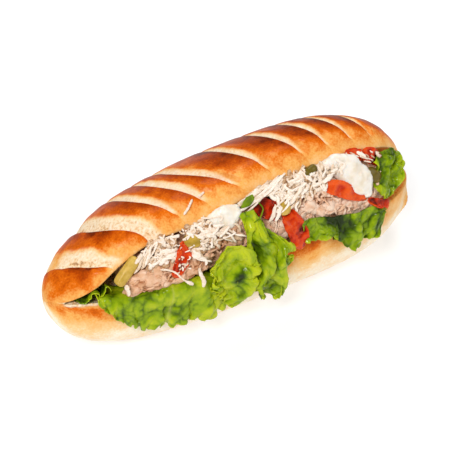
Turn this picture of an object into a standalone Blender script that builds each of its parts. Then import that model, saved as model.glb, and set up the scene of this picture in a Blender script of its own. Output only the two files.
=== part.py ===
"""Submarine sandwich: a slashed milk roll, cut open along its front and filled with tuna salad."""

import bmesh
import bpy
import numpy as np

# Lengths are in metres and angles in degrees.
# +X runs along the roll to its far end, -Y is the open side, and the roll rests on z = 0.

ROLL_LENGTH = 0.251
ROLL_HALF_WIDTH = 0.0448
CROWN_RISE = 0.0270  # from the cut up to the crown, with the roll shut
CUT_HEIGHT = 0.0414
SOLE_PRESS = 1.04  # the rounded underside is drawn this much too deep, then cut flat
NEAR_BLUNTNESS = 1.9
FAR_BLUNTNESS = 3.5
BEND = 0.005  # how far the tips stand forward of the middle
TOP_SHORTFALL = 0.004  # how much sooner the lifted top half ends at the far tip

# The cut at places along the roll, from -1 at its near tip to 1 at its far tip: how far the top half is
# lifted, and where the uncut bread at the back begins, as a share of the half width.
CUT_PLACES = (-0.93, -0.80, -0.60, -0.30, 0.10, 0.50, 1.00)
OPENING_ANGLES = (0.0, 24.5, 31.4, 29.6, 33.8, 35.8, 31.8)
HINGE_SHARES = (0.70, 0.42, 0.67, 0.74, 0.74, 0.74, 0.79)
CUT_START = -0.955
LIPS_PART = (-0.93, -0.79)  # where along the roll the upper lip leaves the lower one

# Each slash: its place at the crown, its place at the front lip, its width and the angle at which it ends.
SLASHES = (
    (-0.1126, -0.0922, 0.0072, 538),
    (-0.0900, -0.0690, 0.0085, 545),
    (-0.0655, -0.0465, 0.0042, 523),
    (-0.0475, -0.0280, 0.0042, 523),
    (-0.0325, -0.0055, 0.0048, 524),
    (0.0000, 0.0150, 0.0042, 522),
    (0.0270, 0.0400, 0.0042, 522),
    (0.0485, 0.0575, 0.0038, 525),
    (0.0660, 0.0755, 0.0036, 525),
    (0.0850, 0.0925, 0.0034, 522),
)
SLASH_DEPTH = 0.0024
RIDGE_RISE = 0.0020
LEAN_CURVE = 2.2  # how late each slash leans over between the crown and the front
NEAR_LEAN = 0.62  # at the near tip, the share of the lean that comes evenly, and the rest only at the lip
FRONT_BULGE = 0.003  # how far the filling swells out of the mouth, between the two lips

# The lips as angles round the roll from the cut's plane: minus lifts the lower lip above it, plus the upper.
LOWER_LIP = -7.0
NEAR_LIP_RISE = -7.5  # added to the lower lip near the near end of the cut
TIP_LIP_RISE = -4.0  # and added again at the near tip
UPPER_LIP = 1.5
SEAM = 0.4  # between the two lips where the roll isn't cut

TOP_FULLNESS = 2.15  # how square the roll's section is above the cut, and below it
SOLE_FULLNESS = 2.7
CUT_HOLLOW = 0.0020  # how far the two cut faces are hollowed
FEELER = 0.002  # the short step that finds a direction along the mouth

LEAF_THICKNESS = 0.0009
LIP_ROOM = 1.3  # how much further, in mm, a leaf stands off where it turns over the lower lip
CLEARANCE = 0.0004
SHRED_LIFT = 0.0014  # from the crust to the middle of a shred lying on it

# The left leaf's outer edge in mm past the lip, at shares of its length.
LEFT_LEAF_EDGE = ((0, 1), (0.09, 6), (0.16, 14), (0.28, 20), (0.5, 22), (0.75, 24), (0.92, 23), (1, 10))

# Places in the mouth are x in mm, s (0 at the lower lip, 1 at the upper one) and mm outward.
# Each strip: its node, the places it runs through, its widths along it in mm and its thickness in mm.
STRIPS = (
    ("gherkin_stick", ((-94, 0.64, 2.4), (-87, 0.78, 1.6), (-79, 0.86, 0.6)), (6.8, 7.0, 6.4), 6.2),
    (
        "tomato_left",
        ((-51, 0.83, 1.5), (-54, 0.64, 3.0), (-58, 0.44, 3.0), (-61.5, 0.29, 2.4)),
        (8, 10, 9, 6),
        3.0,
    ),
    (
        "tomato_centre_upper",
        ((-4, 0.85, 0.5), (2, 0.79, 2.0), (7, 0.67, 2.0), (10, 0.55, 1.0)),
        (9, 12, 11, 7),
        3.0,
    ),
    (
        "tomato_centre_lower",
        ((15, 0.62, 1.0), (17, 0.43, 3.6), (20, 0.22, 5.0), (21.5, 0.01, 5.6)),
        (8, 12, 13, 9),
        3.0,
    ),
    (
        "tomato_right_strip",
        ((44, 0.69, 2.0), (51, 0.62, 3.4), (61, 0.47, 3.4), (71, 0.31, 3.0)),
        (13, 13, 8, 4),
        3.0,
    ),
    ("tomato_right_tip", ((73, 0.29, 3.0), (79, 0.20, 4.4), (88, 0.08, 5.0)), (4, 6, 8), 2.8),
    ("tomato_top_near", ((63, 0.92, 1.0), (69, 0.92, 1.8), (76, 0.87, 1.2)), (7, 9, 6), 2.6),
    ("tomato_top_far", ((77, 0.88, 1.0), (82, 0.84, 2.0), (88, 0.74, 1.4)), (6, 8, 6), 2.6),
)
# Each lump: its node, x in mm, s, mm outward, its three radii in mm and the angle it lies at.
LUMPS = (
    ("gherkin_dice", -46.5, 0.80, 1.8, (5.4, 4.2, 3.2), -25),
    ("gherkin_slice_low", 13.5, 0.67, 3.6, (4.2, 4.6, 1.8), 20),
    ("gherkin_slice_high", 18.5, 0.80, 1.6, (4.0, 4.4, 2.0), 60),
    ("gherkin_far", 80.5, 0.61, 1.6, (6.6, 4.4, 2.6), -35),
    ("olive_bit", 38.0, 0.93, 1.4, (4.6, 2.8, 2.4), 15),
)
HERB_LEAF = ((-15, 0.94, 4.6), (-10, 0.98, 5.2), (-5, 1.00, 4.4))
CREAMS = (
    ("mayonnaise_centre", ((-32, 0.93, 1.6), (-23, 0.88, 2.4), (-14, 0.89, 1.8)), (8, 15, 10), 7.0),
    (
        "mayonnaise_right",
        ((41, 0.93, 0.6), (52, 0.87, 2.2), (63, 0.75, 2.8), (71, 0.54, 2.8), (75, 0.34, 2.0)),
        (6, 12, 18, 15, 9),
        7.0,
    ),
)
# A heap's core: the places it runs through, its widths along it in mm and its thickness in mm.
# A heap's patches: x from and to in mm, s from and to, and how many shreds or flakes lie there.
CHEESE_LEFT_CORE = (
    ((-78, 0.70, 1.0), (-66, 0.76, 2.0), (-50, 0.72, 1.5), (-38, 0.72, 2.0), (-31, 0.66, 1.6)),
    (6, 13, 9, 14, 8),
    2.6,
)
CHEESE_LEFT_PATCHES = ((-78, -60, 0.62, 0.90, 5), (-48, -34, 0.60, 0.88, 6))
CHEESE_LEFT_SHREDS = (
    ((-80, 0.68, 2.6), (-68, 0.92, 2.6), 1.5),
    ((-78, 0.64, 3.2), (-66, 0.88, 3.2), 1.0),
    ((-50, 0.58, 3.4), (-36, 0.40, 4.2), 1.5),
    ((-36, 0.86, 3.6), (-26, 0.72, 4.2), 1.0),
)
CHEESE_CENTRE_CORE = (
    ((-6, 0.90, 1.6), (8, 0.90, 1.8), (22, 0.90, 1.6), (36, 0.84, 1.6), (47, 0.82, 1.2)),
    (5, 7, 7, 10, 6),
    2.4,
)
CHEESE_CENTRE_PATCHES = ((18, 46, 0.78, 0.94, 8),)
CHEESE_CENTRE_SHREDS = (
    ((-9, 0.86, 3.0), (14, 0.94, 3.0), 1.2),
    ((-7, 0.92, 4.0), (16, 0.99, 3.6), 1.0),
    ((-4, 0.83, 3.6), (12, 0.86, 4.0), 1.0),
)
LOOSE_SHREDS = (
    ("shred_by_stick", ((-91, 0.60, 6.4), (-91, 0.34, 7.0), 0.6)),
    ("shred_hanging_long", ((-70, 0.56, 6.2), (-53, 0.12, 7.6), 1.0)),
    ("shred_hanging_short", ((-48, 0.34, 6.4), (-47, 0.0, 8.0), 0.4)),
    ("shred_at_lip", ((-38, 1.06, 3.0), (-29, 0.95, 5.8), 0.6)),
)
SHREDS_ON_CRUST = (
    ("shred_on_crust_long", (-46.0, 115.0), (-38.0, 111.0)),
    ("shred_on_crust_short", (-32.0, 111.3), (-28.5, 110.2)),
)
TUNA_ENDS = (-0.084, 0.103)
TUNA_RECESS = -0.0030  # how far the wedge of salad lies behind the filling's front
# The wedge's section: s, and the depth from 0 at the front to 1 at the hinge.
TUNA_RING = (
    (0.15, 0.03), (0.34, 0.0), (0.55, 0.0), (0.74, 0.0), (0.85, 0.12),
    (0.86, 0.30), (0.82, 0.45), (0.5, 0.55), (0.22, 0.42), (0.18, 0.2),
)
TUNA_PATCHES = (
    (-85, -60, 0.16, 0.55, 7),
    (-58, -34, 0.20, 0.55, 4),
    (-32, -10, 0.35, 0.72, 5),
    (2, 18, 0.25, 0.55, 2),
    (24, 54, 0.34, 0.70, 7),
    (56, 80, 0.16, 0.38, 4),
    (84, 94, 0.35, 0.70, 2),
)


def smooth(low, high, value):
    """0 below low, 1 above high, with a smooth step between them."""
    share = np.clip((value - low) / (high - low), 0.0, 1.0)
    return share * share * (3 - 2 * share)


def fullness(t):
    """The roll's half width at t, from -1 at its near tip to 1 at its far tip, as a share of the widest."""
    blunt = np.where(t < 0, NEAR_BLUNTNESS, FAR_BLUNTNESS)
    return np.sqrt(np.clip(1 - np.abs(t) ** blunt, 0, 1))


def eased(t, places, values):
    """A smooth curve through values at places: straight runs between them, averaged over a short stretch."""
    spread = (-0.08, -0.04, 0.0, 0.04, 0.08)
    return sum(np.interp(t + d, places, values) for d in spread) / len(spread)


def slash_relief(x_station, phi):
    """How far the crust stands out: a steep fall at each slash, then a soft rise into the ridge beyond it.

    The slashes are open from the back of the crown, 372 to 400 degrees, to the angle at which each one ends.
    """
    crowns = [slash[0] for slash in SLASHES]
    edges = np.array([crowns[0] - 0.020, *crowns, crowns[-1] + 0.024])
    widths = np.array([0.0040, *[slash[2] for slash in SLASHES], 0.0040])
    ends = np.array([523.0, *[slash[3] for slash in SLASHES], 523.0])
    index = np.clip(np.searchsorted(edges, x_station, side="right") - 1, 0, len(edges) - 2)
    after = np.clip(x_station - edges[index], 0, None)
    before = np.clip(edges[index + 1] - x_station, 0, None)
    reach = smooth(372, 400, phi) * (1 - smooth(ends[index] - 14, ends[index], phi))
    next_reach = smooth(372, 400, phi) * (1 - smooth(ends[index + 1] - 14, ends[index + 1], phi))
    rise = smooth(0.0, 1.9, after / widths[index])
    fall = smooth(0.0, 0.0016, before)
    valley = SLASH_DEPTH * (rise - 1) * reach * (index > 0)
    valley = valley + SLASH_DEPTH * (fall - 1) * next_reach * (index < len(edges) - 2)
    ridge = RIDGE_RISE * rise * fall * smooth(365, 400, phi) * (1 - smooth(500, 532, phi))
    return np.maximum(valley, -SLASH_DEPTH) + ridge


def roll_loop(crust_points, cut_points):
    """One loop round the roll: crust from the lower lip round the back to the upper lip, then the cut faces.

    It returns each point's angle in degrees (180 is the front, 270 the sole, 360 the back, 450 the crown),
    and its share of the way from the lip to the hinge, with the part it belongs to: 0 crust, 1 top, 2 floor.
    """
    crust = np.linspace(0, 1, crust_points)
    inward = (np.arange(cut_points) + 1) / (cut_points + 1)
    kind = np.concatenate([np.zeros(crust_points), np.ones(cut_points + 1), np.full(cut_points, 2.0)])
    along = np.concatenate([crust, inward, [1.0], inward[::-1]])
    return kind, along


def roll_points(x_station, kind, along):
    """Points of the opened roll, for station places down the rows and one loop across the columns."""
    x0 = np.asarray(x_station)[:, None] + 0 * along[None, :]
    half = ROLL_LENGTH / 2
    crowns = [-half, *[slash[0] for slash in SLASHES], half]
    fronts = [-half, *[slash[1] for slash in SLASHES], half]
    skew = np.interp(x0, crowns, fronts) - x0
    t_lip = (x0 + skew) / half
    cut = smooth(CUT_START, CUT_START + 0.08, t_lip)
    low_gap = LOWER_LIP + NEAR_LIP_RISE * (1 - smooth(-0.88, -0.68, t_lip))
    low_gap = low_gap + TIP_LIP_RISE * (1 - smooth(-0.98, -0.90, t_lip))
    lip_gap = UPPER_LIP + (SEAM - low_gap - UPPER_LIP) * (1 - smooth(*LIPS_PART, t_lip))
    phi = 180 + low_gap + along * (360 - lip_gap - low_gap)
    is_crust = kind[None, :] < 0.5
    is_top = (kind[None, :] > 0.5) & (kind[None, :] < 1.5)
    phi = np.where(is_crust, phi, np.where(is_top, 540 - lip_gap, 180 + low_gap))
    c, s = np.cos(np.radians(phi)), np.sin(np.radians(phi))
    power = np.where(s > 0, 2 / TOP_FULLNESS, 2 / SOLE_FULLNESS)
    side = np.sign(c) * np.abs(c) ** power
    inward = np.where(is_crust, 0.0, along[None, :])
    share = eased(t_lip, CUT_PLACES, HINGE_SHARES)
    inner_side = -1 + (1 + share) * (0.02 + 0.98 * cut)
    lateral = side + (inner_side - side) * inward
    forward = np.abs(lateral)
    near = smooth(0.085, 0.108, -x0)
    lean = (1 - near) * forward**LEAN_CURVE + near * (NEAR_LEAN * forward**1.1 + (1 - NEAR_LEAN) * forward**9)
    x = x0 + skew * np.where(lateral < 0, lean, -0.3 * lateral)
    t = np.clip(x / half, -1, 1)
    wide = fullness(t)
    tall = fullness(t) ** 0.8
    deep = np.clip(1 - np.abs(t) ** 5.0, 0, 1) ** 0.5
    relief = slash_relief(x0, phi) * np.clip(wide * 1.4, 0, 1) * is_crust
    swell = 1 + relief / 0.036
    y = ROLL_HALF_WIDTH * wide * lateral * swell
    rise = np.where(s > 0, CROWN_RISE * tall, CUT_HEIGHT * deep) * np.sign(s) * np.abs(s) ** power
    hollow = CUT_HOLLOW * np.sin(np.pi * np.clip(inward, 0, 1)) * cut * wide
    z = np.where(is_crust, rise * swell, rise * (1 - inward) + np.where(is_top, hollow, -hollow))
    z = np.maximum(np.where(z < 0, z * SOLE_PRESS, z), -CUT_HEIGHT)
    lifted = np.where(is_crust, smooth(322, 412, phi), np.where(is_top, 1.0, 0.0))
    lifted = np.where((kind[None, :] > 0.5) & (inward >= 1), 0.5, lifted)
    x = x - TOP_SHORTFALL * lifted * smooth(0.5, 1.0, t)
    y = y - BEND * t**2
    angle = np.radians(eased(t, CUT_PLACES, OPENING_ANGLES)) * lifted
    hinge = eased(t, CUT_PLACES, HINGE_SHARES) * ROLL_HALF_WIDTH * wide
    turned_y = hinge + (y - hinge) * np.cos(angle) + z * np.sin(angle)
    turned_z = -(y - hinge) * np.sin(angle) + z * np.cos(angle)
    return np.stack([x, turned_y, CUT_HEIGHT + turned_z], axis=-1)


def roll_stations():
    """Places along the roll: five to a slash and its ridge, and closer together towards the tips."""
    half = ROLL_LENGTH / 2
    places = [half * share for share in (-0.994, -0.975, -0.945, -0.92)]
    for i, (slash, _, width, _) in enumerate(SLASHES):
        after = SLASHES[i + 1][0] if i + 1 < len(SLASHES) else 0.108
        places += [slash - 0.0016, slash, slash + width * 0.8]
        places += [slash + width * 0.8 + (after - slash - width * 0.8) * 0.45]
    places += [half * share for share in (0.90, 0.945, 0.975, 0.994)]
    return np.array(sorted(places))


def closed_tube(rows, first_pole, last_pole):
    """Faces of a closed tube of loops, with a fan of triangles on a pole at each end."""
    stations, around = rows.shape[:2]
    points = [tuple(first_pole), *map(tuple, rows.reshape(-1, 3)), tuple(last_pole)]
    faces = []
    last = stations * around + 1
    for j in range(around):
        k = (j + 1) % around
        faces.append((0, 1 + k, 1 + j))
        faces.append((last, 1 + (stations - 1) * around + j, 1 + (stations - 1) * around + k))
        for i in range(stations - 1):
            a, b = 1 + i * around, 1 + (i + 1) * around
            faces.append((a + j, a + k, b + k, b + j))
    return points, faces


def add_object(name, points, faces, material):
    mesh = bpy.data.meshes.new(name)
    mesh.from_pydata([tuple(map(float, p)) for p in points], [], faces)
    b = bmesh.new()
    b.from_mesh(mesh)
    bmesh.ops.recalc_face_normals(b, faces=b.faces)
    bmesh.ops.triangulate(b, faces=b.faces)
    b.to_mesh(mesh)
    b.free()
    mesh.materials.append(material)
    mesh.shade_smooth()
    obj = bpy.data.objects.new(name, mesh)
    bpy.context.scene.collection.objects.link(obj)
    return obj


def finish(name, colour, roughness):
    material = bpy.data.materials.new(name)
    material.use_nodes = True
    shader = material.node_tree.nodes["Principled BSDF"]
    shader.inputs["Base Color"].default_value = (*colour, 1)
    shader.inputs["Roughness"].default_value = roughness
    return material


def make_roll():
    kind, along = roll_loop(27, 3)
    rows = roll_points(roll_stations(), kind, along)
    half = ROLL_LENGTH / 2
    points, faces = closed_tube(rows, (-half, 0, CUT_HEIGHT), (half, 0, CUT_HEIGHT))
    return add_object("roll", points, faces, finish("baked crust", (0.62, 0.27, 0.06), 0.4))


class Mouth:
    """The open cut: lines along the roll for its two lips and its hinge, and sections of the bread."""

    def __init__(self):
        self.crust = 121
        self.inner = 14
        kind, along = roll_loop(self.crust, self.inner)
        stations = np.linspace(-0.4992, 0.4992, 301) * ROLL_LENGTH
        self.rows = roll_points(stations, kind, along)

    def column(self, j, x):
        line = self.rows[:, j]
        return np.stack([np.interp(x, line[:, 0], line[:, 1]), np.interp(x, line[:, 0], line[:, 2])], axis=-1)

    def on_crust(self, x, column, out):
        """A point standing off the crust at x; column counts round it from the lower lip to the upper one."""
        low, share = int(column), column - int(column)
        here = self.column(low, x) * (1 - share) + self.column(low + 1, x) * share
        slope = unit(self.column(low + 2, x) - self.column(low - 2, x))
        normal = np.array([slope[1], -slope[0]])
        return np.array([x, *(here + normal * out)])

    def front(self, x, s, out=0.0, depth=0.0):
        """The filling's front: s runs from 0 at the lower lip to 1 at the upper one, out is forward of it.

        Depth runs from 0 at the front to 1 at the hinge.
        """
        x, s, out, depth = np.broadcast_arrays(*(np.asarray(a, float) for a in (x, s, out, depth)))
        low = self.column(0, x)
        high = self.column(self.crust - 1, x)
        hinge = self.column(self.crust + self.inner, x)
        chord = high - low
        gap = np.linalg.norm(chord, axis=-1, keepdims=True) + 1e-9
        normal = np.stack([-chord[..., 1], chord[..., 0]], axis=-1) / gap
        bulge = FRONT_BULGE * 4 * s * (1 - s)
        flat = low + s[..., None] * chord + normal * (out + bulge)[..., None]
        flat = hinge + (flat - hinge) * (1 - depth[..., None])
        return np.stack([x, flat[..., 0], flat[..., 1]], axis=-1)

    def path(self, x, up_front):
        """A line across the bread at x: from inside the mouth or high on its front, over the lip to the sole.

        It returns the points in Y and Z, the way outward at each, and the distance past the lip.
        """
        down = [self.column(j, x) for j in range(0, int(self.crust * 0.36))]
        if up_front:
            inside = [self.front(x, s)[1:] for s in np.linspace(0.95, 0.05, 19)]
        else:
            floor = range(self.crust + self.inner + 1, self.crust + 2 * self.inner + 1)
            inside = [self.column(j, x) for j in floor]
        line = np.array([*inside, *down])
        step = np.linalg.norm(np.diff(line, axis=0), axis=1)
        run = np.concatenate([[0], np.cumsum(step)])
        run = run - run[len(inside)]
        even = np.linspace(run[0], run[-1], 160)
        line = np.stack([np.interp(even, run, line[:, 0]), np.interp(even, run, line[:, 1])], axis=-1)
        kernel = np.ones(9) / 9
        padded = np.pad(line, ((4, 4), (0, 0)), mode="edge")
        soft = np.stack([np.convolve(padded[:, i], kernel, mode="valid") for i in (0, 1)], axis=-1)
        slope = np.gradient(soft, axis=0)
        slope = slope / (np.linalg.norm(slope, axis=1, keepdims=True) + 1e-12)
        outward = np.stack([slope[:, 1], -slope[:, 0]], axis=-1)
        return line, outward, even


def unit(v):
    v = np.asarray(v, float)
    return v / (np.linalg.norm(v, axis=-1, keepdims=True) + 1e-12)


def sweep(points, sides, widths, thicknesses, around=8, squareness=2.6):
    """Rings of a bar along points: width along sides and thickness across, with a pole at each end."""
    points = np.asarray(points, float)
    along = unit(np.gradient(points, axis=0))
    sides = np.asarray(sides, float)
    sides = unit(sides - (sides * along).sum(axis=1, keepdims=True) * along)
    across = np.cross(along, sides)
    angle = 2 * np.pi * np.arange(around) / around
    c, s = np.cos(angle), np.sin(angle)
    power = 2 / squareness
    c, s = np.sign(c) * np.abs(c) ** power, np.sign(s) * np.abs(s) ** power
    w = np.asarray(widths, float)[:, None, None] / 2
    h = np.asarray(thicknesses, float)[:, None, None] / 2
    rings = points[:, None] + sides[:, None] * w * c[None, :, None] + across[:, None] * h * s[None, :, None]
    reach = 0.30 * np.minimum(widths[0], thicknesses[0]), 0.30 * np.minimum(widths[-1], thicknesses[-1])
    return closed_tube(rings, points[0] - along[0] * reach[0], points[-1] + along[-1] * reach[1])


def resample(points, count):
    """Count even places along a smooth line through points."""
    points = np.asarray(points, float)
    run = np.concatenate([[0], np.cumsum(np.linalg.norm(np.diff(points, axis=0), axis=1))])
    even = np.linspace(0, run[-1], 8 * count)
    line = np.stack([np.interp(even, run, points[:, i]) for i in range(3)], axis=-1)
    padded = np.concatenate([2 * line[:1] - line[count:0:-1], line, 2 * line[-1:] - line[-2:-count - 2:-1]])
    kernel = np.ones(2 * count + 1) / (2 * count + 1)
    soft = np.stack([np.convolve(padded[:, i], kernel, mode="valid") for i in range(3)], axis=-1)
    return soft[np.linspace(0, len(soft) - 1, count).astype(int)]


def strip_in(mouth, places, width, thickness, steps=6, around=8, rough=0.0, seed=0):
    """A soft strip lying on the filling. Places hold x in mm, s, and how far it stands out in mm."""
    places = np.asarray(places, float)
    line = mouth.front(places[:, 0] / 1000, places[:, 1], places[:, 2] / 1000)
    lifted = mouth.front(places[:, 0] / 1000, places[:, 1], places[:, 2] / 1000 + 0.004)
    outward = unit((lifted - line).mean(axis=0))
    return strip_on(line, outward, width, thickness, steps, around, rough, seed)


def strip_on(line, outward, width, thickness, steps, around, rough=0.0, seed=0):
    """A soft strip along a line, its broad side facing outward."""
    line = resample(line, steps)
    rng = np.random.default_rng(seed)
    line = line + rng.normal(size=line.shape) * rough
    sides = np.cross(np.gradient(line, axis=0), outward)
    t = np.linspace(0, 1, steps)
    round_end = 0.55 + 0.45 * np.sin(np.pi * np.clip(t * 0.94 + 0.03, 0, 1)) ** 0.5
    widths = np.interp(t, np.linspace(0, 1, len(width)), width) / 1000 * round_end
    thick = thickness / 1000 * round_end
    return sweep(line, sides, widths, thick, around)


def lump(centre, axes, radii, seed, rough=0.12, rows=5, around=8):
    """A lumpy rounded solid: an ellipsoid about three axes, its surface moved in and out at random."""
    rng = np.random.default_rng(seed)
    axes = np.asarray(axes, float)
    radii = np.asarray(radii, float)
    polar = np.pi * (np.arange(rows) + 1) / (rows + 1)
    turn = 2 * np.pi * (np.arange(around)[None, :] + 0.5 * (np.arange(rows)[:, None] % 2)) / around
    d = np.stack(
        [
            np.cos(polar)[:, None] + 0 * turn,
            np.sin(polar)[:, None] * np.cos(turn),
            np.sin(polar)[:, None] * np.sin(turn),
        ],
        axis=-1,
    )
    d = np.sign(d) * np.abs(d) ** 0.85
    scale = 1 + rough * rng.uniform(-1, 1, d.shape[:2])[..., None]
    rings = centre + (d * scale * radii) @ axes
    return closed_tube(rings, centre + radii[0] * axes[0], centre - radii[0] * axes[0])


def local_axes(mouth, x, s, out):
    """The way along the roll, the way up the filling's front and the way out of it, at one place."""
    here = mouth.front(x, s, out)
    up = unit(mouth.front(x, s + 0.03, out) - mouth.front(x, s - 0.03, out))
    along = unit(mouth.front(x + FEELER, s, out) - mouth.front(x - FEELER, s, out))
    outward = unit(np.cross(along, up))
    return here, np.array([along, np.cross(outward, along), outward])


def turned(axes, angle, tip=0.0):
    """The axes turned in the plane of the front by an angle, and tipped out of it, in degrees."""
    a, b = np.radians(angle), np.radians(tip)
    first = axes[0] * np.cos(a) + axes[1] * np.sin(a)
    second = -axes[0] * np.sin(a) + axes[1] * np.cos(a)
    tipped = first * np.cos(b) + axes[2] * np.sin(b)
    return np.array([tipped, second, axes[2] * np.cos(b) - first * np.sin(b)])


def lump_in(mouth, x, s, out, radii, angle, seed, rough=0.12, rows=5, around=8, tip=0.0):
    here, axes = local_axes(mouth, x / 1000, s, out / 1000)
    return lump(here, turned(axes, angle, tip), np.array(radii) / 1000, seed, rough, rows, around)


def leaf_solid(sheet, thickness):
    """A thin closed solid about a grid of points, both of its faces split the same way."""
    rows, cols = sheet.shape[:2]
    du = np.gradient(sheet, axis=0)
    dv = np.gradient(sheet, axis=1)
    normal = unit(np.cross(du, dv))
    above, below = sheet + normal * thickness / 2, sheet - normal * thickness / 2
    points = np.concatenate([above.reshape(-1, 3), below.reshape(-1, 3)])
    under = rows * cols
    faces = []
    for i in range(rows - 1):
        for j in range(cols - 1):
            a, b, c, d = i * cols + j, (i + 1) * cols + j, (i + 1) * cols + j + 1, i * cols + j + 1
            faces += [(a, b, c), (a, c, d)]
            faces += [(under + c, under + b, under + a), (under + d, under + c, under + a)]
    rim = [j for j in range(cols)] + [i * cols + cols - 1 for i in range(1, rows)]
    rim += [(rows - 1) * cols + j for j in range(cols - 2, -1, -1)]
    rim += [i * cols for i in range(rows - 2, 0, -1)]
    for k, a in enumerate(rim):
        b = rim[(k + 1) % len(rim)]
        faces += [(a, b, under + b), (a, under + b, under + a)]
    return points, faces


def leaf_sheet(mouth, up_front, x_from, x_to, inner, outer, stand, rows, cols):
    """A leaf that follows the bread from inner to outer (mm past the lip), standing off it in waves."""
    sheet = np.zeros((rows, cols, 3))
    for i, u in enumerate(np.linspace(0, 1, rows)):
        x = (x_from + (x_to - x_from) * u) / 1000
        line, outward, run = mouth.path(x, up_front)
        v = np.linspace(0, 1, cols)
        turn = 0.0 if outer(u) > 3 else (inner(u) + outer(u)) / 2
        q = np.interp(v, (0, v[cols // 2], 1), (inner(u), turn, outer(u))) / 1000
        y = np.interp(q, run, line[:, 0])
        z = np.interp(q, run, line[:, 1])
        ny = np.interp(q, run, outward[:, 0])
        nz = np.interp(q, run, outward[:, 1])
        off, shift = stand(u, v, q * 1000)
        off = off + LIP_ROOM * np.exp(-((q * 1000 / 6) ** 2))
        sheet[i] = np.stack([x + shift / 1000, y + ny * off / 1000, z + nz * off / 1000], axis=-1)
    return sheet


def knots(u, pairs):
    return np.interp(u, [p[0] for p in pairs], [p[1] for p in pairs])


def left_stand(u, v, q):
    hang = smooth(-4, 20, q)
    wave = np.sin(2 * np.pi * (5.2 * u + 0.35 * v)) + 0.5 * np.sin(2 * np.pi * (9.1 * u - 0.8 * v) + 1.0)
    fade = smooth(0.0, 0.12, u) * (1 - 0.8 * smooth(0.80, 0.97, u))
    off = 1.6 + 1.4 * (1 - smooth(0.0, 0.22, u)) + (2.4 + 1.9 * wave) * hang * fade
    off = off + 0.35 * (1 + np.sin(2 * np.pi * (7 * u + 1.5 * v)))
    return off, 2.5 * hang * fade * np.cos(2 * np.pi * 5.2 * u)


def middle_left_stand(u, v, q):
    side = np.abs(2 * u - 1)
    rim = np.clip(np.maximum(side**2, (2 * v - 1.0) ** 2), 0, 1)
    off = 4.0 + 6.4 * rim + 1.2 * np.sin(2 * np.pi * (3 * v + u))
    off = off - 4.0 * smooth(0.85, 1.0, v) - 3.0 * smooth(0.8, 1.0, side)
    return off, 1.5 * np.sin(2 * np.pi * (2.5 * v + 0.2))


def middle_right_stand(u, v, q):
    hang = smooth(-36, 6, q)
    wave = np.sin(2 * np.pi * (2.4 * u + 0.55 * v) + 0.4) + 0.45 * np.sin(2 * np.pi * (4.7 * u - 1.4 * v))
    edge = smooth(0.0, 0.15, u) * (1 - smooth(0.85, 1.0, u))
    off = 4.2 + (3.0 + 2.7 * wave) * (0.35 + 0.65 * hang) * (0.3 + 0.7 * edge)
    return np.maximum(off, 2.4), 2.2 * np.sin(2 * np.pi * (1.6 * v + 1.2 * u))


def right_stand(u, v, q):
    hang = smooth(-10, 12, q)
    wave = np.sin(2 * np.pi * (3.4 * u + 0.4 * v)) + 0.4 * np.sin(2 * np.pi * (6.3 * u - v))
    off = 3.2 + (2.6 + 2.4 * wave) * (0.3 + 0.7 * hang)
    return np.maximum(off, 1.8), 2.0 * hang * np.cos(2 * np.pi * 3.4 * u)


def end_stand(u, v, q):
    wave = np.sin(2 * np.pi * (1.6 * u + 1.1 * v) + 0.6) + 0.5 * np.sin(2 * np.pi * (3.1 * v - u))
    off = 3.0 + 1.7 * wave
    return np.maximum(off, 1.4), 2.0 * np.sin(2 * np.pi * (1.3 * v))


def make_leaves(mouth, leaf):
    """The six leaves. Each one's ends are x in mm, its inner and outer edges mm past the lower lip."""
    leaves = {}
    leaves["lettuce_left"] = leaf_sheet(
        mouth, False, -105, -23,
        lambda u: -17,
        lambda u: knots(u, LEFT_LEAF_EDGE),
        left_stand, 26, 8,
    )
    leaves["lettuce_middle_left"] = leaf_sheet(
        mouth, True, -40, -12,
        lambda u: knots(u, ((0, -13), (0.25, -22), (0.6, -20), (0.85, -14), (1, -4))),
        lambda u: knots(u, ((0, 3), (0.12, 6), (0.43, 19), (0.6, 22), (0.8, 21), (1, 13))),
        middle_left_stand, 12, 12,
    )
    leaves["lettuce_middle_right"] = leaf_sheet(
        mouth, True, -17, 12.5,
        lambda u: knots(u, ((0, -35), (0.28, -33), (0.42, -24), (0.72, -14), (0.9, -7), (1, -3))),
        lambda u: knots(u, ((0, 4), (0.25, 14), (0.42, 25), (0.72, 25), (0.82, 13), (1, 3))),
        middle_right_stand, 15, 11,
    )
    leaves["lettuce_right"] = leaf_sheet(
        mouth, True, 23, 85,
        lambda u: knots(u, ((0, -18), (0.15, -17), (0.35, -12), (0.6, -9), (0.85, -8), (1, -4))),
        lambda u: knots(u, ((0, -4), (0.3, -1), (0.42, 4), (0.55, 13), (0.65, 14), (0.78, 11), (0.9, 10), (1, 6))),
        right_stand, 20, 8,
    )
    leaves["lettuce_end"] = leaf_sheet(
        mouth, True, 81, 108,
        lambda u: knots(u, ((0, -32), (0.3, -35), (0.7, -32), (1, -24))),
        lambda u: knots(u, ((0, -10), (0.3, -6), (0.6, -10), (0.85, -15), (1, -17))),
        end_stand, 11, 9,
    )
    u, v = np.meshgrid(np.linspace(0, 1, 11), np.linspace(0, 1, 6), indexing="ij")
    x = -0.1135 + 0.0165 * u
    s = 0.5 + 0.24 * np.sin(2 * np.pi * (2.3 * u + 1.2 * v)) * (0.5 + 0.5 * u)
    leaves["lettuce_curl"] = mouth.front(x, s, 0.0004 * np.sin(9 * u), 0.62 - 0.60 * v)
    made = []
    for name, sheet in leaves.items():
        points, faces = leaf_solid(sheet, LEAF_THICKNESS)
        made.append(add_object(name, points, faces, leaf))
    return made


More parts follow.
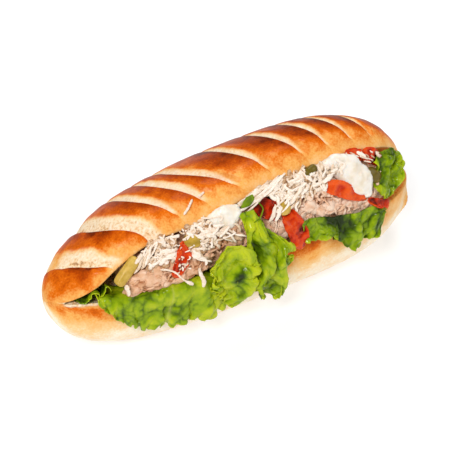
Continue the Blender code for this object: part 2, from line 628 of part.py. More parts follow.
def fused(target, others, operation):
    """One Boolean of a whole collection on the target, applied, its loose scraps dropped."""
    group = bpy.data.collections.new("fusing")
    for obj in others:
        for owner in list(obj.users_collection):
            owner.objects.unlink(obj)
        group.objects.link(obj)
    step = target.modifiers.new("fuse", "BOOLEAN")
    step.operation = operation
    step.operand_type = "COLLECTION"
    step.collection = group
    step.solver = "MANIFOLD"
    graph = bpy.context.evaluated_depsgraph_get()
    mesh = bpy.data.meshes.new_from_object(target.evaluated_get(graph))
    target.modifiers.clear()
    old = target.data
    target.data = mesh
    bpy.data.meshes.remove(old)
    for obj in others:
        bpy.data.objects.remove(obj)
    bpy.data.collections.remove(group)
    keep_largest(target)


def keep_largest(obj):
    b = bmesh.new()
    b.from_mesh(obj.data)
    b.verts.ensure_lookup_table()
    seen = set()
    pieces = []
    for vert in b.verts:
        if vert in seen:
            continue
        stack, piece = [vert], []
        seen.add(vert)
        while stack:
            current = stack.pop()
            piece.append(current)
            for edge in current.link_edges:
                other = edge.other_vert(current)
                if other not in seen:
                    seen.add(other)
                    stack.append(other)
        pieces.append(piece)
    pieces.sort(key=len, reverse=True)
    for piece in pieces[1:]:
        bmesh.ops.delete(b, geom=piece, context="VERTS")
    bmesh.ops.triangulate(b, faces=b.faces)
    b.to_mesh(obj.data)
    b.free()


def box_of(obj):
    co = np.array([v.co[:] for v in obj.data.vertices])
    return co.min(axis=0), co.max(axis=0)


def swollen(obj, distance):
    """A copy of a solid, grown outward along its vertex normals."""
    mesh = obj.data.copy()
    normals = [v.normal.copy() for v in mesh.vertices]
    for vert, normal in zip(mesh.vertices, normals):
        vert.co += normal * distance
    copy = bpy.data.objects.new("swollen", mesh)
    bpy.context.scene.collection.objects.link(copy)
    return copy


def carve(target, neighbours):
    """Cut the target clear of its neighbours by a small gap."""
    low, high = box_of(target)
    near = []
    for other in neighbours:
        a, b = box_of(other)
        if np.all(a - CLEARANCE < high) and np.all(b + CLEARANCE > low):
            near.append(swollen(other, CLEARANCE))
    if near:
        fused(target, near, "DIFFERENCE")


def make_tuna(mouth, material):
    """The salad: a wedge of it along the mouth, with flakes standing on its front."""
    stations = np.linspace(*TUNA_ENDS, 17)
    shares = np.array(TUNA_RING)
    rows = mouth.front(stations[:, None], shares[None, :, 0], TUNA_RECESS, shares[None, :, 1])
    ends = [mouth.front(x, 0.5, TUNA_RECESS, 0.25) for x in (stations[0] - 0.003, stations[-1] + 0.003)]
    points, faces = closed_tube(rows, ends[0], ends[1])
    body = add_object("tuna", points, faces, material)
    rng = np.random.default_rng(11)
    flakes = []
    for x_from, x_to, s_from, s_to, count in TUNA_PATCHES:
        for _ in range(count):
            x = rng.uniform(x_from, x_to)
            s = rng.uniform(s_from, s_to)
            radii = rng.uniform((3.6, 2.2, 2.0), (7.0, 4.2, 3.2))
            angle = rng.uniform(-50, 70)
            out = rng.uniform(-3.0, -0.4)
            seed = int(rng.integers(1e6))
            shape = lump_in(mouth, x, s, out, radii, angle, seed, 0.22, 2, 6, rng.uniform(-20, 20))
            flakes.append(add_object("flake", *shape, material))
    fused(body, flakes, "UNION")
    bed = []
    for places, widths, _ in (CHEESE_LEFT_CORE, CHEESE_CENTRE_CORE):
        bed.append(add_object("bed", *strip_in(mouth, places, widths, 5.0, 6, 6), material))
    fused(body, bed, "DIFFERENCE")
    return body


def shred_between(mouth, start, end, bow, width=2.2, thickness=1.5, steps=3):
    """One grated shred from start to end (x mm, s, out mm), bowed outward in its middle."""
    middle = (np.array(start, float) + np.array(end, float)) / 2 + np.array([0, 0, bow])
    return strip_in(mouth, (start, middle, end), (width, width, width), thickness, steps, 4)


def make_cheese(mouth, name, core, patches, fixed, seed, material):
    """Grated cheese: a thin core with shreds fused on it."""
    body = add_object(name, *strip_in(mouth, core[0], core[1], core[2], 7, 6), material)
    rng = np.random.default_rng(seed)
    shreds = [add_object("shred", *shred_between(mouth, *ends), material) for ends in fixed]
    for x_from, x_to, s_from, s_to, count in patches:
        for _ in range(count):
            x, s = rng.uniform(x_from, x_to), rng.uniform(s_from, s_to)
            angle = rng.uniform(0, np.pi)
            reach = rng.uniform(3.5, 7.0)
            out = rng.uniform(2.0, 4.0)
            dx, ds = reach * np.cos(angle), reach * np.sin(angle) / 42
            end = (x + dx, s + ds, out + rng.uniform(-0.8, 1.2))
            ends = ((x - dx, s - ds, out - 0.8), end, rng.uniform(0, 1.2))
            shreds.append(add_object("shred", *shred_between(mouth, *ends, steps=2), material))
    fused(body, shreds, "UNION")
    return body


def main():
    for obj in list(bpy.data.objects):
        bpy.data.objects.remove(obj)
    roll = make_roll()
    mouth = Mouth()
    leaf = finish("lettuce leaf", (0.19, 0.42, 0.03), 0.4)
    tomato = finish("dried tomato", (0.60, 0.05, 0.01), 0.3)
    pickle = finish("pickled gherkin", (0.42, 0.38, 0.08), 0.3)
    sauce = finish("mayonnaise", (0.90, 0.87, 0.78), 0.25)
    cheese = finish("grated cheese", (0.90, 0.82, 0.66), 0.5)
    fish = finish("tuna salad", (0.78, 0.50, 0.36), 0.5)
    herb = finish("herb leaf", (0.10, 0.22, 0.02), 0.4)
    leaves = make_leaves(mouth, leaf)
    firm = []
    for name, places, width, thickness in STRIPS:
        material = pickle if name.startswith("gherkin") else tomato
        shape = strip_in(mouth, places, width, thickness, 6, 8, 0.0003, len(firm))
        firm.append(add_object(name, *shape, material))
    for name, x, s, out, radii, angle in LUMPS:
        firm.append(add_object(name, *lump_in(mouth, x, s, out, radii, angle, len(firm), 0.10), pickle))
    herb_leaf = add_object("herb_leaf", *strip_in(mouth, HERB_LEAF, (3, 7, 5), 0.9, 5, 6), herb)
    creams = []
    for name, places, width, thickness in CREAMS:
        creams.append(add_object(name, *strip_in(mouth, places, width, thickness, 7, 10, 0.0004, 5), sauce))
    heaps = (
        ("cheese_left", CHEESE_LEFT_CORE, CHEESE_LEFT_PATCHES, CHEESE_LEFT_SHREDS, 21),
        ("cheese_centre", CHEESE_CENTRE_CORE, CHEESE_CENTRE_PATCHES, CHEESE_CENTRE_SHREDS, 22),
    )
    cheeses = [make_cheese(mouth, *heap, cheese) for heap in heaps]
    loose = []
    for name, ends in LOOSE_SHREDS:
        loose.append(add_object(name, *shred_between(mouth, *ends), cheese))
    for name, start, end in SHREDS_ON_CRUST:
        line = [mouth.on_crust(x / 1000, column, SHRED_LIFT) for x, column in (start, end)]
        outward = unit(mouth.on_crust(start[0] / 1000, start[1], 0.01) - line[0])
        loose.append(add_object(name, *strip_on(line, outward, (2.2, 2.2), 1.2, 3, 4), cheese))
    tuna = make_tuna(mouth, fish)
    done = [roll]
    for obj in [*leaves[::-1], *firm, herb_leaf, *loose, *creams, *cheeses, tuna]:
        carve(obj, done)
        done.append(obj)


main()
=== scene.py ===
"""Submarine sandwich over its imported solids: a slashed milk roll filled with tuna salad and leaves."""

import bpy
import numpy as np
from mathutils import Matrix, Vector


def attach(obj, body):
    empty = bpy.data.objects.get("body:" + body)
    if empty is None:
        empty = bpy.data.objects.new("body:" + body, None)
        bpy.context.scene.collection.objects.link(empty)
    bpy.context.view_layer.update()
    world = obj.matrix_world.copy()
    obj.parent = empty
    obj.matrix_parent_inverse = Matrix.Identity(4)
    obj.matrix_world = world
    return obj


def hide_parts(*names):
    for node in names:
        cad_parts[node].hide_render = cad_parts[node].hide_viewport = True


bl_info = {
    "name": "Filled submarine sandwich",
    "version": (1, 0, 0),
    "blender": (4, 5, 0),
    "location": "3D View > Sidebar > Sandwich",
    "description": "Makes the roll, leaves, tuna salad, tomato, gherkin, mayonnaise and cheese of a sandwich",
    "category": "Add Mesh",
}

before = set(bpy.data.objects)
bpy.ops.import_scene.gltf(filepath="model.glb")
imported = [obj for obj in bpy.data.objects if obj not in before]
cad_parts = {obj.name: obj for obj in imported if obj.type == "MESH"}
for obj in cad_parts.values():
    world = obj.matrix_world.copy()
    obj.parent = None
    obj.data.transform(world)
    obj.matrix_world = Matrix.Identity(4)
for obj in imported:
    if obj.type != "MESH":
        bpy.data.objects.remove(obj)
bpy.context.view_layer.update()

# Lengths are in metres unless a name or comment says mm, and angles are in degrees.
# The roll's numbers are those of its solid: +X runs along it, -Y is the open side, and it rests on z = 0.
ROLL_LENGTH = 0.251
ROLL_HALF_WIDTH = 0.0448
CROWN_RISE = 0.0270
CUT_HEIGHT = 0.0414
SOLE_PRESS = 1.04
NEAR_BLUNTNESS = 1.9
FAR_BLUNTNESS = 3.5
BEND = 0.005
TOP_SHORTFALL = 0.004
CUT_PLACES = (-0.93, -0.80, -0.60, -0.30, 0.10, 0.50, 1.00)
OPENING_ANGLES = (0.0, 24.5, 31.4, 29.6, 33.8, 35.8, 31.8)
HINGE_SHARES = (0.70, 0.42, 0.67, 0.74, 0.74, 0.74, 0.79)
CUT_START = -0.955
LIPS_PART = (-0.93, -0.79)
# Each slash: its place at the crown, its place at the front lip, its width and the angle at which it ends.
SLASHES = (
    (-0.1126, -0.0922, 0.0072, 538),
    (-0.0900, -0.0690, 0.0085, 545),
    (-0.0655, -0.0465, 0.0042, 523),
    (-0.0475, -0.0280, 0.0042, 523),
    (-0.0325, -0.0055, 0.0048, 524),
    (0.0000, 0.0150, 0.0042, 522),
    (0.0270, 0.0400, 0.0042, 522),
    (0.0485, 0.0575, 0.0038, 525),
    (0.0660, 0.0755, 0.0036, 525),
    (0.0850, 0.0925, 0.0034, 522),
)
SLASH_DEPTH = 0.0024
RIDGE_RISE = 0.0020
LEAN_CURVE = 2.2
NEAR_LEAN = 0.62
FRONT_BULGE = 0.003
LOWER_LIP = -7.0
NEAR_LIP_RISE = -7.5
TIP_LIP_RISE = -4.0
UPPER_LIP = 1.5
SEAM = 0.4
TOP_FULLNESS = 2.15
SOLE_FULLNESS = 2.7
CUT_HOLLOW = 0.0020
# How much farther a leaf stands off the lip than elsewhere, in mm.
LIP_ROOM = 1.3
# About how tall the filling's front is, in mm, to turn lengths up it into shares of it.
FRONT_HEIGHT = 42
# How far apart two surfaces are taken to find the way out of the filling.
OUTWARD_STEP = 0.004


def smooth(low, high, value):
    """0 below low, 1 above high, with a smooth step between them."""
    share = np.clip((value - low) / (high - low), 0.0, 1.0)
    return share * share * (3 - 2 * share)


def unit(v):
    """Vectors of length 1 along these."""
    return v / (np.linalg.norm(v, axis=-1, keepdims=True) + 1e-12)


def knots(u, pairs):
    """Values at u on straight runs through pairs of place and value."""
    return np.interp(u, [p[0] for p in pairs], [p[1] for p in pairs])


def cloud(points, size, seed=0, octaves=3):
    """A soft random value from about -1 to 1 at each point: a blended lattice of random numbers."""
    points = np.asarray(points, float)
    total = np.zeros(points.shape[:-1])
    for octave in range(octaves):
        place = points / size * 2**octave + 31.7 * (seed + 1) + 7.3 * octave
        cell = np.floor(place)
        share = place - cell
        share = share * share * (3 - 2 * share)
        cell = cell.astype(np.int64)
        value = 0.0
        for corner in np.ndindex(2, 2, 2):
            at = cell + np.array(corner)
            mixed = at[..., 0] * 73856093 ^ at[..., 1] * 19349663 ^ at[..., 2] * 83492791
            mixed = (mixed ^ (mixed >> 13)) * 1274126177 & 0x7FFFFFFF
            mixed = (mixed ^ (mixed >> 15)) & 0xFFFF
            weight = np.prod(np.where(np.array(corner) == 1, share, 1 - share), axis=-1)
            value = value + weight * (mixed / 32767.5 - 1)
        total += value / 2**octave
    return total / 1.5


# The roll's form


def fullness(t):
    """The roll's half width at t, from -1 at its near tip to 1 at its far tip, as a share of the widest."""
    blunt = np.where(t < 0, NEAR_BLUNTNESS, FAR_BLUNTNESS)
    return np.sqrt(np.clip(1 - np.abs(t) ** blunt, 0, 1))


def eased(t, places, values):
    """A smooth curve through values at places: straight runs between them, averaged over a short stretch."""
    spread = (-0.08, -0.04, 0.0, 0.04, 0.08)
    return sum(np.interp(t + d, places, values) for d in spread) / len(spread)


def slash_places(x_station, phi):
    """For each point: mm past the slash before it, mm to the next one, and that slash's width and reach."""
    crowns = [slash[0] for slash in SLASHES]
    edges = np.array([crowns[0] - 0.020, *crowns, crowns[-1] + 0.024])
    widths = np.array([0.0040, *[slash[2] for slash in SLASHES], 0.0040])
    ends = np.array([523.0, *[slash[3] for slash in SLASHES], 523.0])
    index = np.clip(np.searchsorted(edges, x_station, side="right") - 1, 0, len(edges) - 2)
    after = np.clip(x_station - edges[index], 0, None)
    before = np.clip(edges[index + 1] - x_station, 0, None)
    starts = smooth(372, 400, phi)
    reach = starts * (1 - smooth(ends[index] - 14, ends[index], phi)) * (index > 0)
    next_reach = starts * (1 - smooth(ends[index + 1] - 14, ends[index + 1], phi)) * (index < len(edges) - 2)
    return after, before, widths[index], reach, next_reach


def slash_relief(x_station, phi):
    """How far the crust stands out: a steep fall at each slash, then a soft rise into the ridge beyond it."""
    after, before, width, reach, next_reach = slash_places(x_station, phi)
    rise = smooth(0.0, 1.9, after / width)
    fall = smooth(0.0, 0.0016, before)
    valley = -SLASH_DEPTH * (1 - rise) * reach - SLASH_DEPTH * (1 - fall) * next_reach
    ridge = RIDGE_RISE * rise * fall * smooth(365, 400, phi) * (1 - smooth(500, 532, phi))
    return np.maximum(valley, -SLASH_DEPTH) + ridge


def roll_loop(crust_points, cut_points):
    """One loop round the roll: the crust from the lower lip round to the upper one, then the cut faces."""
    crust = np.linspace(0, 1, crust_points)
    inward = (np.arange(cut_points) + 1) / (cut_points + 1)
    kind = np.concatenate([np.zeros(crust_points), np.ones(cut_points + 1), np.full(cut_points, 2.0)])
    return kind, np.concatenate([crust, inward, [1.0], inward[::-1]])


def roll_points(x_station, kind, along):
    """Points of the opened roll, its stations down the rows and one loop across, and the angle of each point.

    The shut roll's section is a rounded oblong. The half above the cut is turned up about a line near the
    back, and each station leans along the roll from its place at the crown to its place at the front.
    """
    x0 = np.asarray(x_station)[:, None] + 0 * along[None, :]
    half = ROLL_LENGTH / 2
    crowns = [-half, *[slash[0] for slash in SLASHES], half]
    fronts = [-half, *[slash[1] for slash in SLASHES], half]
    skew = np.interp(x0, crowns, fronts) - x0
    t_lip = (x0 + skew) / half
    cut = smooth(CUT_START, CUT_START + 0.08, t_lip)
    low_gap = LOWER_LIP + NEAR_LIP_RISE * (1 - smooth(-0.88, -0.68, t_lip))
    low_gap = low_gap + TIP_LIP_RISE * (1 - smooth(-0.98, -0.90, t_lip))
    lip_gap = UPPER_LIP + (SEAM - low_gap - UPPER_LIP) * (1 - smooth(*LIPS_PART, t_lip))
    phi = 180 + low_gap + along * (360 - lip_gap - low_gap)
    is_crust = kind[None, :] < 0.5
    is_top = (kind[None, :] > 0.5) & (kind[None, :] < 1.5)
    phi = np.where(is_crust, phi, np.where(is_top, 540 - lip_gap, 180 + low_gap))
    c, s = np.cos(np.radians(phi)), np.sin(np.radians(phi))
    power = np.where(s > 0, 2 / TOP_FULLNESS, 2 / SOLE_FULLNESS)
    side = np.sign(c) * np.abs(c) ** power
    inward = np.where(is_crust, 0.0, along[None, :])
    share = eased(t_lip, CUT_PLACES, HINGE_SHARES)
    inner_side = -1 + (1 + share) * (0.02 + 0.98 * cut)
    lateral = side + (inner_side - side) * inward
    forward = np.abs(lateral)
    near = smooth(0.085, 0.108, -x0)
    lean = (1 - near) * forward**LEAN_CURVE + near * (NEAR_LEAN * forward**1.1 + (1 - NEAR_LEAN) * forward**9)
    x = x0 + skew * np.where(lateral < 0, lean, -0.3 * lateral)
    t = np.clip(x / half, -1, 1)
    wide = fullness(t)
    tall = fullness(t) ** 0.8
    deep = np.clip(1 - np.abs(t) ** 5.0, 0, 1) ** 0.5
    relief = slash_relief(x0, phi) * np.clip(wide * 1.4, 0, 1) * is_crust
    swell = 1 + relief / 0.036
    y = ROLL_HALF_WIDTH * wide * lateral * swell
    rise = np.where(s > 0, CROWN_RISE * tall, CUT_HEIGHT * deep) * np.sign(s) * np.abs(s) ** power
    hollow = CUT_HOLLOW * np.sin(np.pi * np.clip(inward, 0, 1)) * cut * wide
    z = np.where(is_crust, rise * swell, rise * (1 - inward) + np.where(is_top, hollow, -hollow))
    z = np.maximum(np.where(z < 0, z * SOLE_PRESS, z), -CUT_HEIGHT)
    lifted = np.where(is_crust, smooth(322, 412, phi), np.where(is_top, 1.0, 0.0))
    lifted = np.where((kind[None, :] > 0.5) & (inward >= 1), 0.5, lifted)
    x = x - TOP_SHORTFALL * lifted * smooth(0.5, 1.0, t)
    y = y - BEND * t**2
    angle = np.radians(eased(t, CUT_PLACES, OPENING_ANGLES)) * lifted
    hinge = eased(t, CUT_PLACES, HINGE_SHARES) * ROLL_HALF_WIDTH * wide
    turned_y = hinge + (y - hinge) * np.cos(angle) + z * np.sin(angle)
    turned_z = -(y - hinge) * np.sin(angle) + z * np.cos(angle)
    return np.stack([x, turned_y, CUT_HEIGHT + turned_z], axis=-1), phi, x0


def between(table, row, column):
    """Values of a table at fractional rows and columns."""
    row = np.clip(row, 0, table.shape[0] - 1.001)
    column = np.clip(column, 0, table.shape[1] - 1.001)
    i, j = row.astype(int), column.astype(int)
    a, b = (row - i)[..., None], (column - j)[..., None]
    low = table[i, j] * (1 - b) + table[i, j + 1] * b
    high = table[i + 1, j] * (1 - b) + table[i + 1, j + 1] * b
    return low * (1 - a) + high * a


class Mouth:
    """The open cut: tables of lines along the roll for its lips and hinge, and of lines across the bread."""

    def __init__(self):
        self.crust = 181
        self.inner = 20
        kind, along = roll_loop(self.crust, self.inner)
        rows = roll_points(np.linspace(-0.4992, 0.4992, 401) * ROLL_LENGTH, kind, along)[0]
        self.x = np.linspace(-0.4985, 0.4985, 480) * ROLL_LENGTH
        loop = range(rows.shape[1])
        across = [np.interp(self.x, rows[:, j, 0], rows[:, j, k]) for j in loop for k in (1, 2)]
        self.table = np.stack(across, axis=-1).reshape(len(self.x), len(loop), 2)
        self.paths = {up_front: self.path_tables(up_front) for up_front in (True, False)}

    def row(self, x):
        """The fractional row of the tables at x."""
        return (x - self.x[0]) / (self.x[1] - self.x[0])

    def column(self, j, x):
        """The point of line j at x, as y and z."""
        return between(self.table, self.row(x), np.full(np.shape(x), float(j)))

    def front(self, x, s, out=0.0, depth=0.0):
        """The filling's front: s runs from 0 at the lower lip to 1 at the upper, and out is forward of it.

        The front is the straight line from lip to lip, swelled by a parabola. Depth runs from 0 there to 1 at
        the hinge. x and out are in metres.
        """
        x, s, out, depth = np.broadcast_arrays(*(np.asarray(a, float) for a in (x, s, out, depth)))
        low = self.column(0, x)
        chord = self.column(self.crust - 1, x) - low
        hinge = self.column(self.crust + self.inner, x)
        gap = np.linalg.norm(chord, axis=-1, keepdims=True) + 1e-9
        normal = np.stack([-chord[..., 1], chord[..., 0]], axis=-1) / gap
        bulge = FRONT_BULGE * 4 * s * (1 - s)
        flat = low + s[..., None] * chord + normal * (out + bulge)[..., None]
        flat = hinge + (flat - hinge) * (1 - depth[..., None])
        return np.stack([x, flat[..., 0], flat[..., 1]], axis=-1)

    def axes(self, x, s, out=0.0):
        """The point on the front, with the ways along the roll, up the front and out of it."""
        here = self.front(x, s, out)
        up = unit(self.front(x, s + 0.03, out) - self.front(x, s - 0.03, out))
        along = unit(self.front(x + 0.002, s, out) - self.front(x - 0.002, s, out))
        outward = unit(np.cross(along, up))
        return here, np.stack([along, np.cross(outward, along), outward], axis=-2)

    def path_tables(self, up_front):
        """Lines across the bread, from inside the mouth or high on its front, over the lip and down."""
        if up_front:
            s = np.linspace(0.95, 0.05, 19)
            inside = self.front(self.x[:, None], s[None, :])[..., 1:]
        else:
            inside = self.table[:, self.crust + self.inner + 1 : self.crust + 2 * self.inner + 1]
        line = np.concatenate([inside, self.table[:, : int(self.crust * 0.36)]], axis=1)
        run = np.cumsum(np.linalg.norm(np.diff(line, axis=1, prepend=line[:, :1]), axis=-1), axis=1)
        lip = run[:, inside.shape[1]]
        share = np.linspace(0, 1, 160)
        even = share[None, :] * run[:, -1:]
        resampled = [[np.interp(e, r, p[:, k]) for e, r, p in zip(even, run, line)] for k in (0, 1)]
        line = np.stack(resampled, axis=-1)
        padded = np.pad(line, ((0, 0), (4, 4), (0, 0)), mode="edge")
        soft = sum(padded[:, k : k + line.shape[1]] for k in range(9)) / 9
        slope = unit(np.gradient(soft, axis=1))
        outward = np.stack([slope[..., 1], -slope[..., 0]], axis=-1)
        return np.concatenate([line, outward], axis=-1), -lip, run[:, -1] - lip

    def lay(self, x, q, up_front):
        """The point on the bread that is q past the lip, and the way out of it there."""
        table, start, end = self.paths[up_front]
        low, high = np.interp(x, self.x, start), np.interp(x, self.x, end)
        found = between(table, self.row(x), (q - low) / (high - low) * (table.shape[1] - 1))
        return found[..., :2], found[..., 2:]

    def on_crust(self, x, column, out):
        """A point standing off the crust, column counting in 120ths round it from lower to upper lip."""
        column = np.asarray(column, float) * (self.crust - 1) / 120
        row = self.row(x)
        here = between(self.table, row, column)
        slope = unit(between(self.table, row, column + 2) - between(self.table, row, column - 2))
        normal = np.stack([slope[..., 1], -slope[..., 0]], axis=-1)
        found = here + normal * np.asarray(out)[..., None]
        return np.stack([x + 0 * found[..., 0], found[..., 0], found[..., 1]], axis=-1)


# Making meshes


def tube_faces(tubes, steps, around):
    """Faces of many closed tubes of rings with a pole at either end, a tube's poles first in its points."""
    i = np.arange(steps - 1)[:, None]
    j = np.arange(around)[None, :]
    k = (j + 1) % around
    a, b = 2 + i * around, 2 + (i + 1) * around
    quads = np.stack([a + j, a + k, b + k, b + j], axis=-1).reshape(-1, 4)
    ring = np.arange(around)
    after = (ring + 1) % around
    first = np.stack([0 * ring, 2 + after, 2 + ring], axis=-1)
    end = 2 + (steps - 1) * around
    last = np.stack([0 * ring + 1, end + ring, end + after], axis=-1)
    offsets = np.arange(tubes)[:, None, None] * (2 + steps * around)
    quads = (quads[None] + offsets).reshape(-1, 4)
    caps = (np.concatenate([first, last])[None] + offsets).reshape(-1, 3)
    return [*quads.tolist(), *caps.tolist()]


def tube_points(rings, first, last):
    """The points of many tubes in one list: for each tube its two poles, then its rings."""
    tubes = rings.shape[0]
    return np.concatenate([first[:, None], last[:, None], rings.reshape(tubes, -1, 3)], axis=1).reshape(-1, 3)


def tube_values(values, tubes=1):
    """A value for each point of the tubes, their poles taking the mean of the end rings."""
    values = values.reshape(tubes, *values.shape[-2:])
    first, last = values[:, 0].mean(axis=-1), values[:, -1].mean(axis=-1)
    return np.concatenate([first[:, None], last[:, None], values.reshape(tubes, -1)], axis=1).ravel()


def ring_normals(rings):
    """The way out of each ring's points, from the differences along and round the tube."""
    around = np.roll(rings, -1, axis=-2) - np.roll(rings, 1, axis=-2)
    along = np.gradient(rings, axis=-3)
    normal = unit(np.cross(along, around))
    out = rings - rings.mean(axis=-2, keepdims=True)
    turn = np.sign((normal * out).sum(axis=-1).mean(axis=(-1, -2), keepdims=True))
    return normal * turn[..., None]


def piece(name, points, faces, material, nodes, slot, attributes=()):
    """A mesh object of these points and faces that rides on the sandwich and stands for its solids."""
    mesh = bpy.data.meshes.new(name)
    mesh.from_pydata(np.asarray(points).tolist(), [], faces)
    for label, values in dict(attributes).items():
        layer = mesh.attributes.new(label, "FLOAT", "POINT")
        layer.data.foreach_set("value", np.asarray(values, np.float32).ravel())
    mesh.materials.append(material)
    mesh.shade_smooth()
    obj = bpy.data.objects.new(name, mesh)
    bpy.context.scene.collection.objects.link(obj)
    turn_outward(mesh)
    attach(obj, "root")
    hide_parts(*nodes)
    return obj


def turn_outward(mesh):
    """Turn the whole mesh over where the volume that its faces enclose comes out negative."""
    mesh.calc_loop_triangles()
    corners = np.empty(len(mesh.loop_triangles) * 3, np.int32)
    mesh.loop_triangles.foreach_get("vertices", corners)
    points = np.empty(len(mesh.vertices) * 3, np.float32)
    mesh.vertices.foreach_get("co", points)
    corners = points.reshape(-1, 3)[corners.reshape(-1, 3)].astype(float)
    volume = (corners[:, 0] * np.cross(corners[:, 1], corners[:, 2])).sum()
    if volume < 0:
        mesh.flip_normals()


def resample(points, count):
    """Count even places along a smooth line through points."""
    points = np.asarray(points, float)
    run = np.concatenate([[0], np.cumsum(np.linalg.norm(np.diff(points, axis=0), axis=1))])
    even = np.linspace(0, run[-1], 8 * count)
    line = np.stack([np.interp(even, run, points[:, i]) for i in range(3)], axis=-1)
    pad = count
    padded = np.concatenate([2 * line[:1] - line[pad:0:-1], line, 2 * line[-1:] - line[-2 : -pad - 2 : -1]])
    kernel = np.ones(2 * pad + 1) / (2 * pad + 1)
    soft = np.stack([np.convolve(padded[:, i], kernel, mode="valid") for i in range(3)], axis=-1)
    return soft[np.linspace(0, len(soft) - 1, count).astype(int)]


def bar(line, outward, widths, thickness, around=28, squareness=2.6, curl=0.0, blunt=6.0):
    """Rings along a line: a rounded oblong section with its broad side facing outward, closing at both ends.

    Curl bends the section's edges outward, by so much at the very edge.
    """
    steps = len(line)
    along = unit(np.gradient(line, axis=0))
    sides = np.cross(along, outward)
    sides = unit(sides - (sides * along).sum(axis=1, keepdims=True) * along)
    across = np.cross(along, sides)
    across = across * np.sign((across * outward).sum(axis=1, keepdims=True))
    angle = 2 * np.pi * np.arange(around) / around
    c, s = np.cos(angle), np.sin(angle)
    c, s = np.sign(c) * np.abs(c) ** (2 / squareness), np.sign(s) * np.abs(s) ** (2 / squareness)
    t = (np.arange(steps) + 0.5) / steps
    close = (1 - np.abs(2 * t - 1) ** blunt) ** 0.5
    w = (widths * close)[:, None, None] / 2
    h = (thickness * (0.35 + 0.65 * close) * close**0.5)[:, None, None] / 2
    bend = curl * c[None, :, None] ** 2 * close[:, None, None]
    rings = line[:, None] + sides[:, None] * w * c[None, :, None]
    return rings + across[:, None] * (h * s[None, :, None] + bend)


def on_front(mouth, places):
    """Points at places in the mouth (x mm, s, mm out), and a step out of the filling from each."""
    x, s, out = places[..., 0] / 1000, places[..., 1], places[..., 2] / 1000
    here = mouth.front(x, s, out)
    return here, mouth.front(x, s, out + OUTWARD_STEP) - here


def in_mouth(mouth, places, steps):
    """A smooth line through places in the mouth (x mm, s, mm out), and the way out of the filling there."""
    line, away = on_front(mouth, np.asarray(places, float))
    return resample(line, steps), unit(away.mean(axis=0))


def displaced(rings, amount):
    """Rings with each point moved out of the surface by an amount."""
    return rings + ring_normals(rings) * amount[..., None]


# Making materials


def colour(hexadecimal):
    """Linear red, green, blue and alpha of an sRGB colour such as #C55E17."""
    values = np.array([int(hexadecimal[i : i + 2], 16) for i in (1, 3, 5)]) / 255
    linear = np.where(values <= 0.04045, values / 12.92, ((values + 0.055) / 1.055) ** 2.4)
    return (*linear.tolist(), 1.0)


def add(tree, kind, inputs=(), **settings):
    """A node of this kind with its settings, each input set to a value or linked from a socket."""
    node = tree.nodes.new(kind)
    for name, value in settings.items():
        setattr(node, name, value)
    for socket, value in dict(inputs).items():
        if isinstance(value, bpy.types.NodeSocket):
            tree.links.new(value, node.inputs[socket])
        else:
            node.inputs[socket].default_value = value
    return node


def start_material(name, **values):
    """A material with a Principled shader, its plain values set on the shader's own sockets."""
    material = bpy.data.materials.new(name)
    material.use_nodes = True
    tree = material.node_tree
    shader = tree.nodes["Principled BSDF"]
    for socket, value in values.items():
        shader.inputs[socket.replace("_", " ")].default_value = value
    return material, tree, shader


def patterns(tree, attributes, noises):
    """What a surface's colour and relief are made from: its own attributes, then noises in object space.

    Each noise is given by the size of its marks in metres, its detail, distortion and stretch along x.
    """
    where = add(tree, "ShaderNodeTexCoord").outputs["Object"]
    found = [add(tree, "ShaderNodeAttribute", attribute_name=label).outputs["Fac"] for label in attributes]
    for size, detail, distortion, stretch in noises:
        place = add(tree, "ShaderNodeMapping", {"Vector": where, "Scale": (1 / stretch, 1, 1)}).outputs[0]
        inputs = {"Vector": place, "Scale": 1 / size, "Detail": detail, "Distortion": distortion}
        found.append(add(tree, "ShaderNodeTexNoise", inputs).outputs["Fac"])
    return found


def ramp_colour(tree, level, stops, noises=(), offset=0.0):
    """The colour of a ramp at a level, with noises added by their shares and an offset taken off."""
    for noise, share in noises:
        inputs = {0: noise, 1: share, 2: level}
        level = add(tree, "ShaderNodeMath", inputs, operation="MULTIPLY_ADD").outputs[0]
    level = add(tree, "ShaderNodeMath", {0: level, 1: offset}, operation="SUBTRACT").outputs[0]
    ramp = add(tree, "ShaderNodeValToRGB", {"Fac": level})
    elements = ramp.color_ramp.elements
    while len(elements) < len(stops):
        elements.new(0.5)
    for element, (place, value) in zip(elements, stops):
        element.position = place
        element.color = (*value[:3], 1)
    return ramp.outputs["Color"]


def finish_shader(tree, shader, reliefs, **outputs):
    """Link outputs to the shader's sockets, and raise the surface by reliefs: height, strength and metres."""
    inputs = {}
    for height, strength, distance in reliefs:
        inputs |= {"Height": height, "Strength": strength, "Distance": distance}
        inputs["Normal"] = add(tree, "ShaderNodeBump", inputs).outputs[0]
    for socket, output in {**outputs, "Normal": inputs["Normal"]}.items():
        tree.links.new(output, shader.inputs[socket.replace("_", " ")])


def toned_material(name, stops, noises, share, offset, reliefs, **values):
    """A material coloured by its tone attribute, which the first noise varies.

    Each relief is the number of its noise, its strength and its height in metres.
    """
    material, tree, shader = start_material(name, **values)
    tone, *found = patterns(tree, ["tone"], noises)
    colours = ramp_colour(tree, tone, stops, [(found[0], share)], offset)
    finish_shader(tree, shader, [(found[number], *relief) for number, *relief in reliefs], Base_Color=colours)
    return material


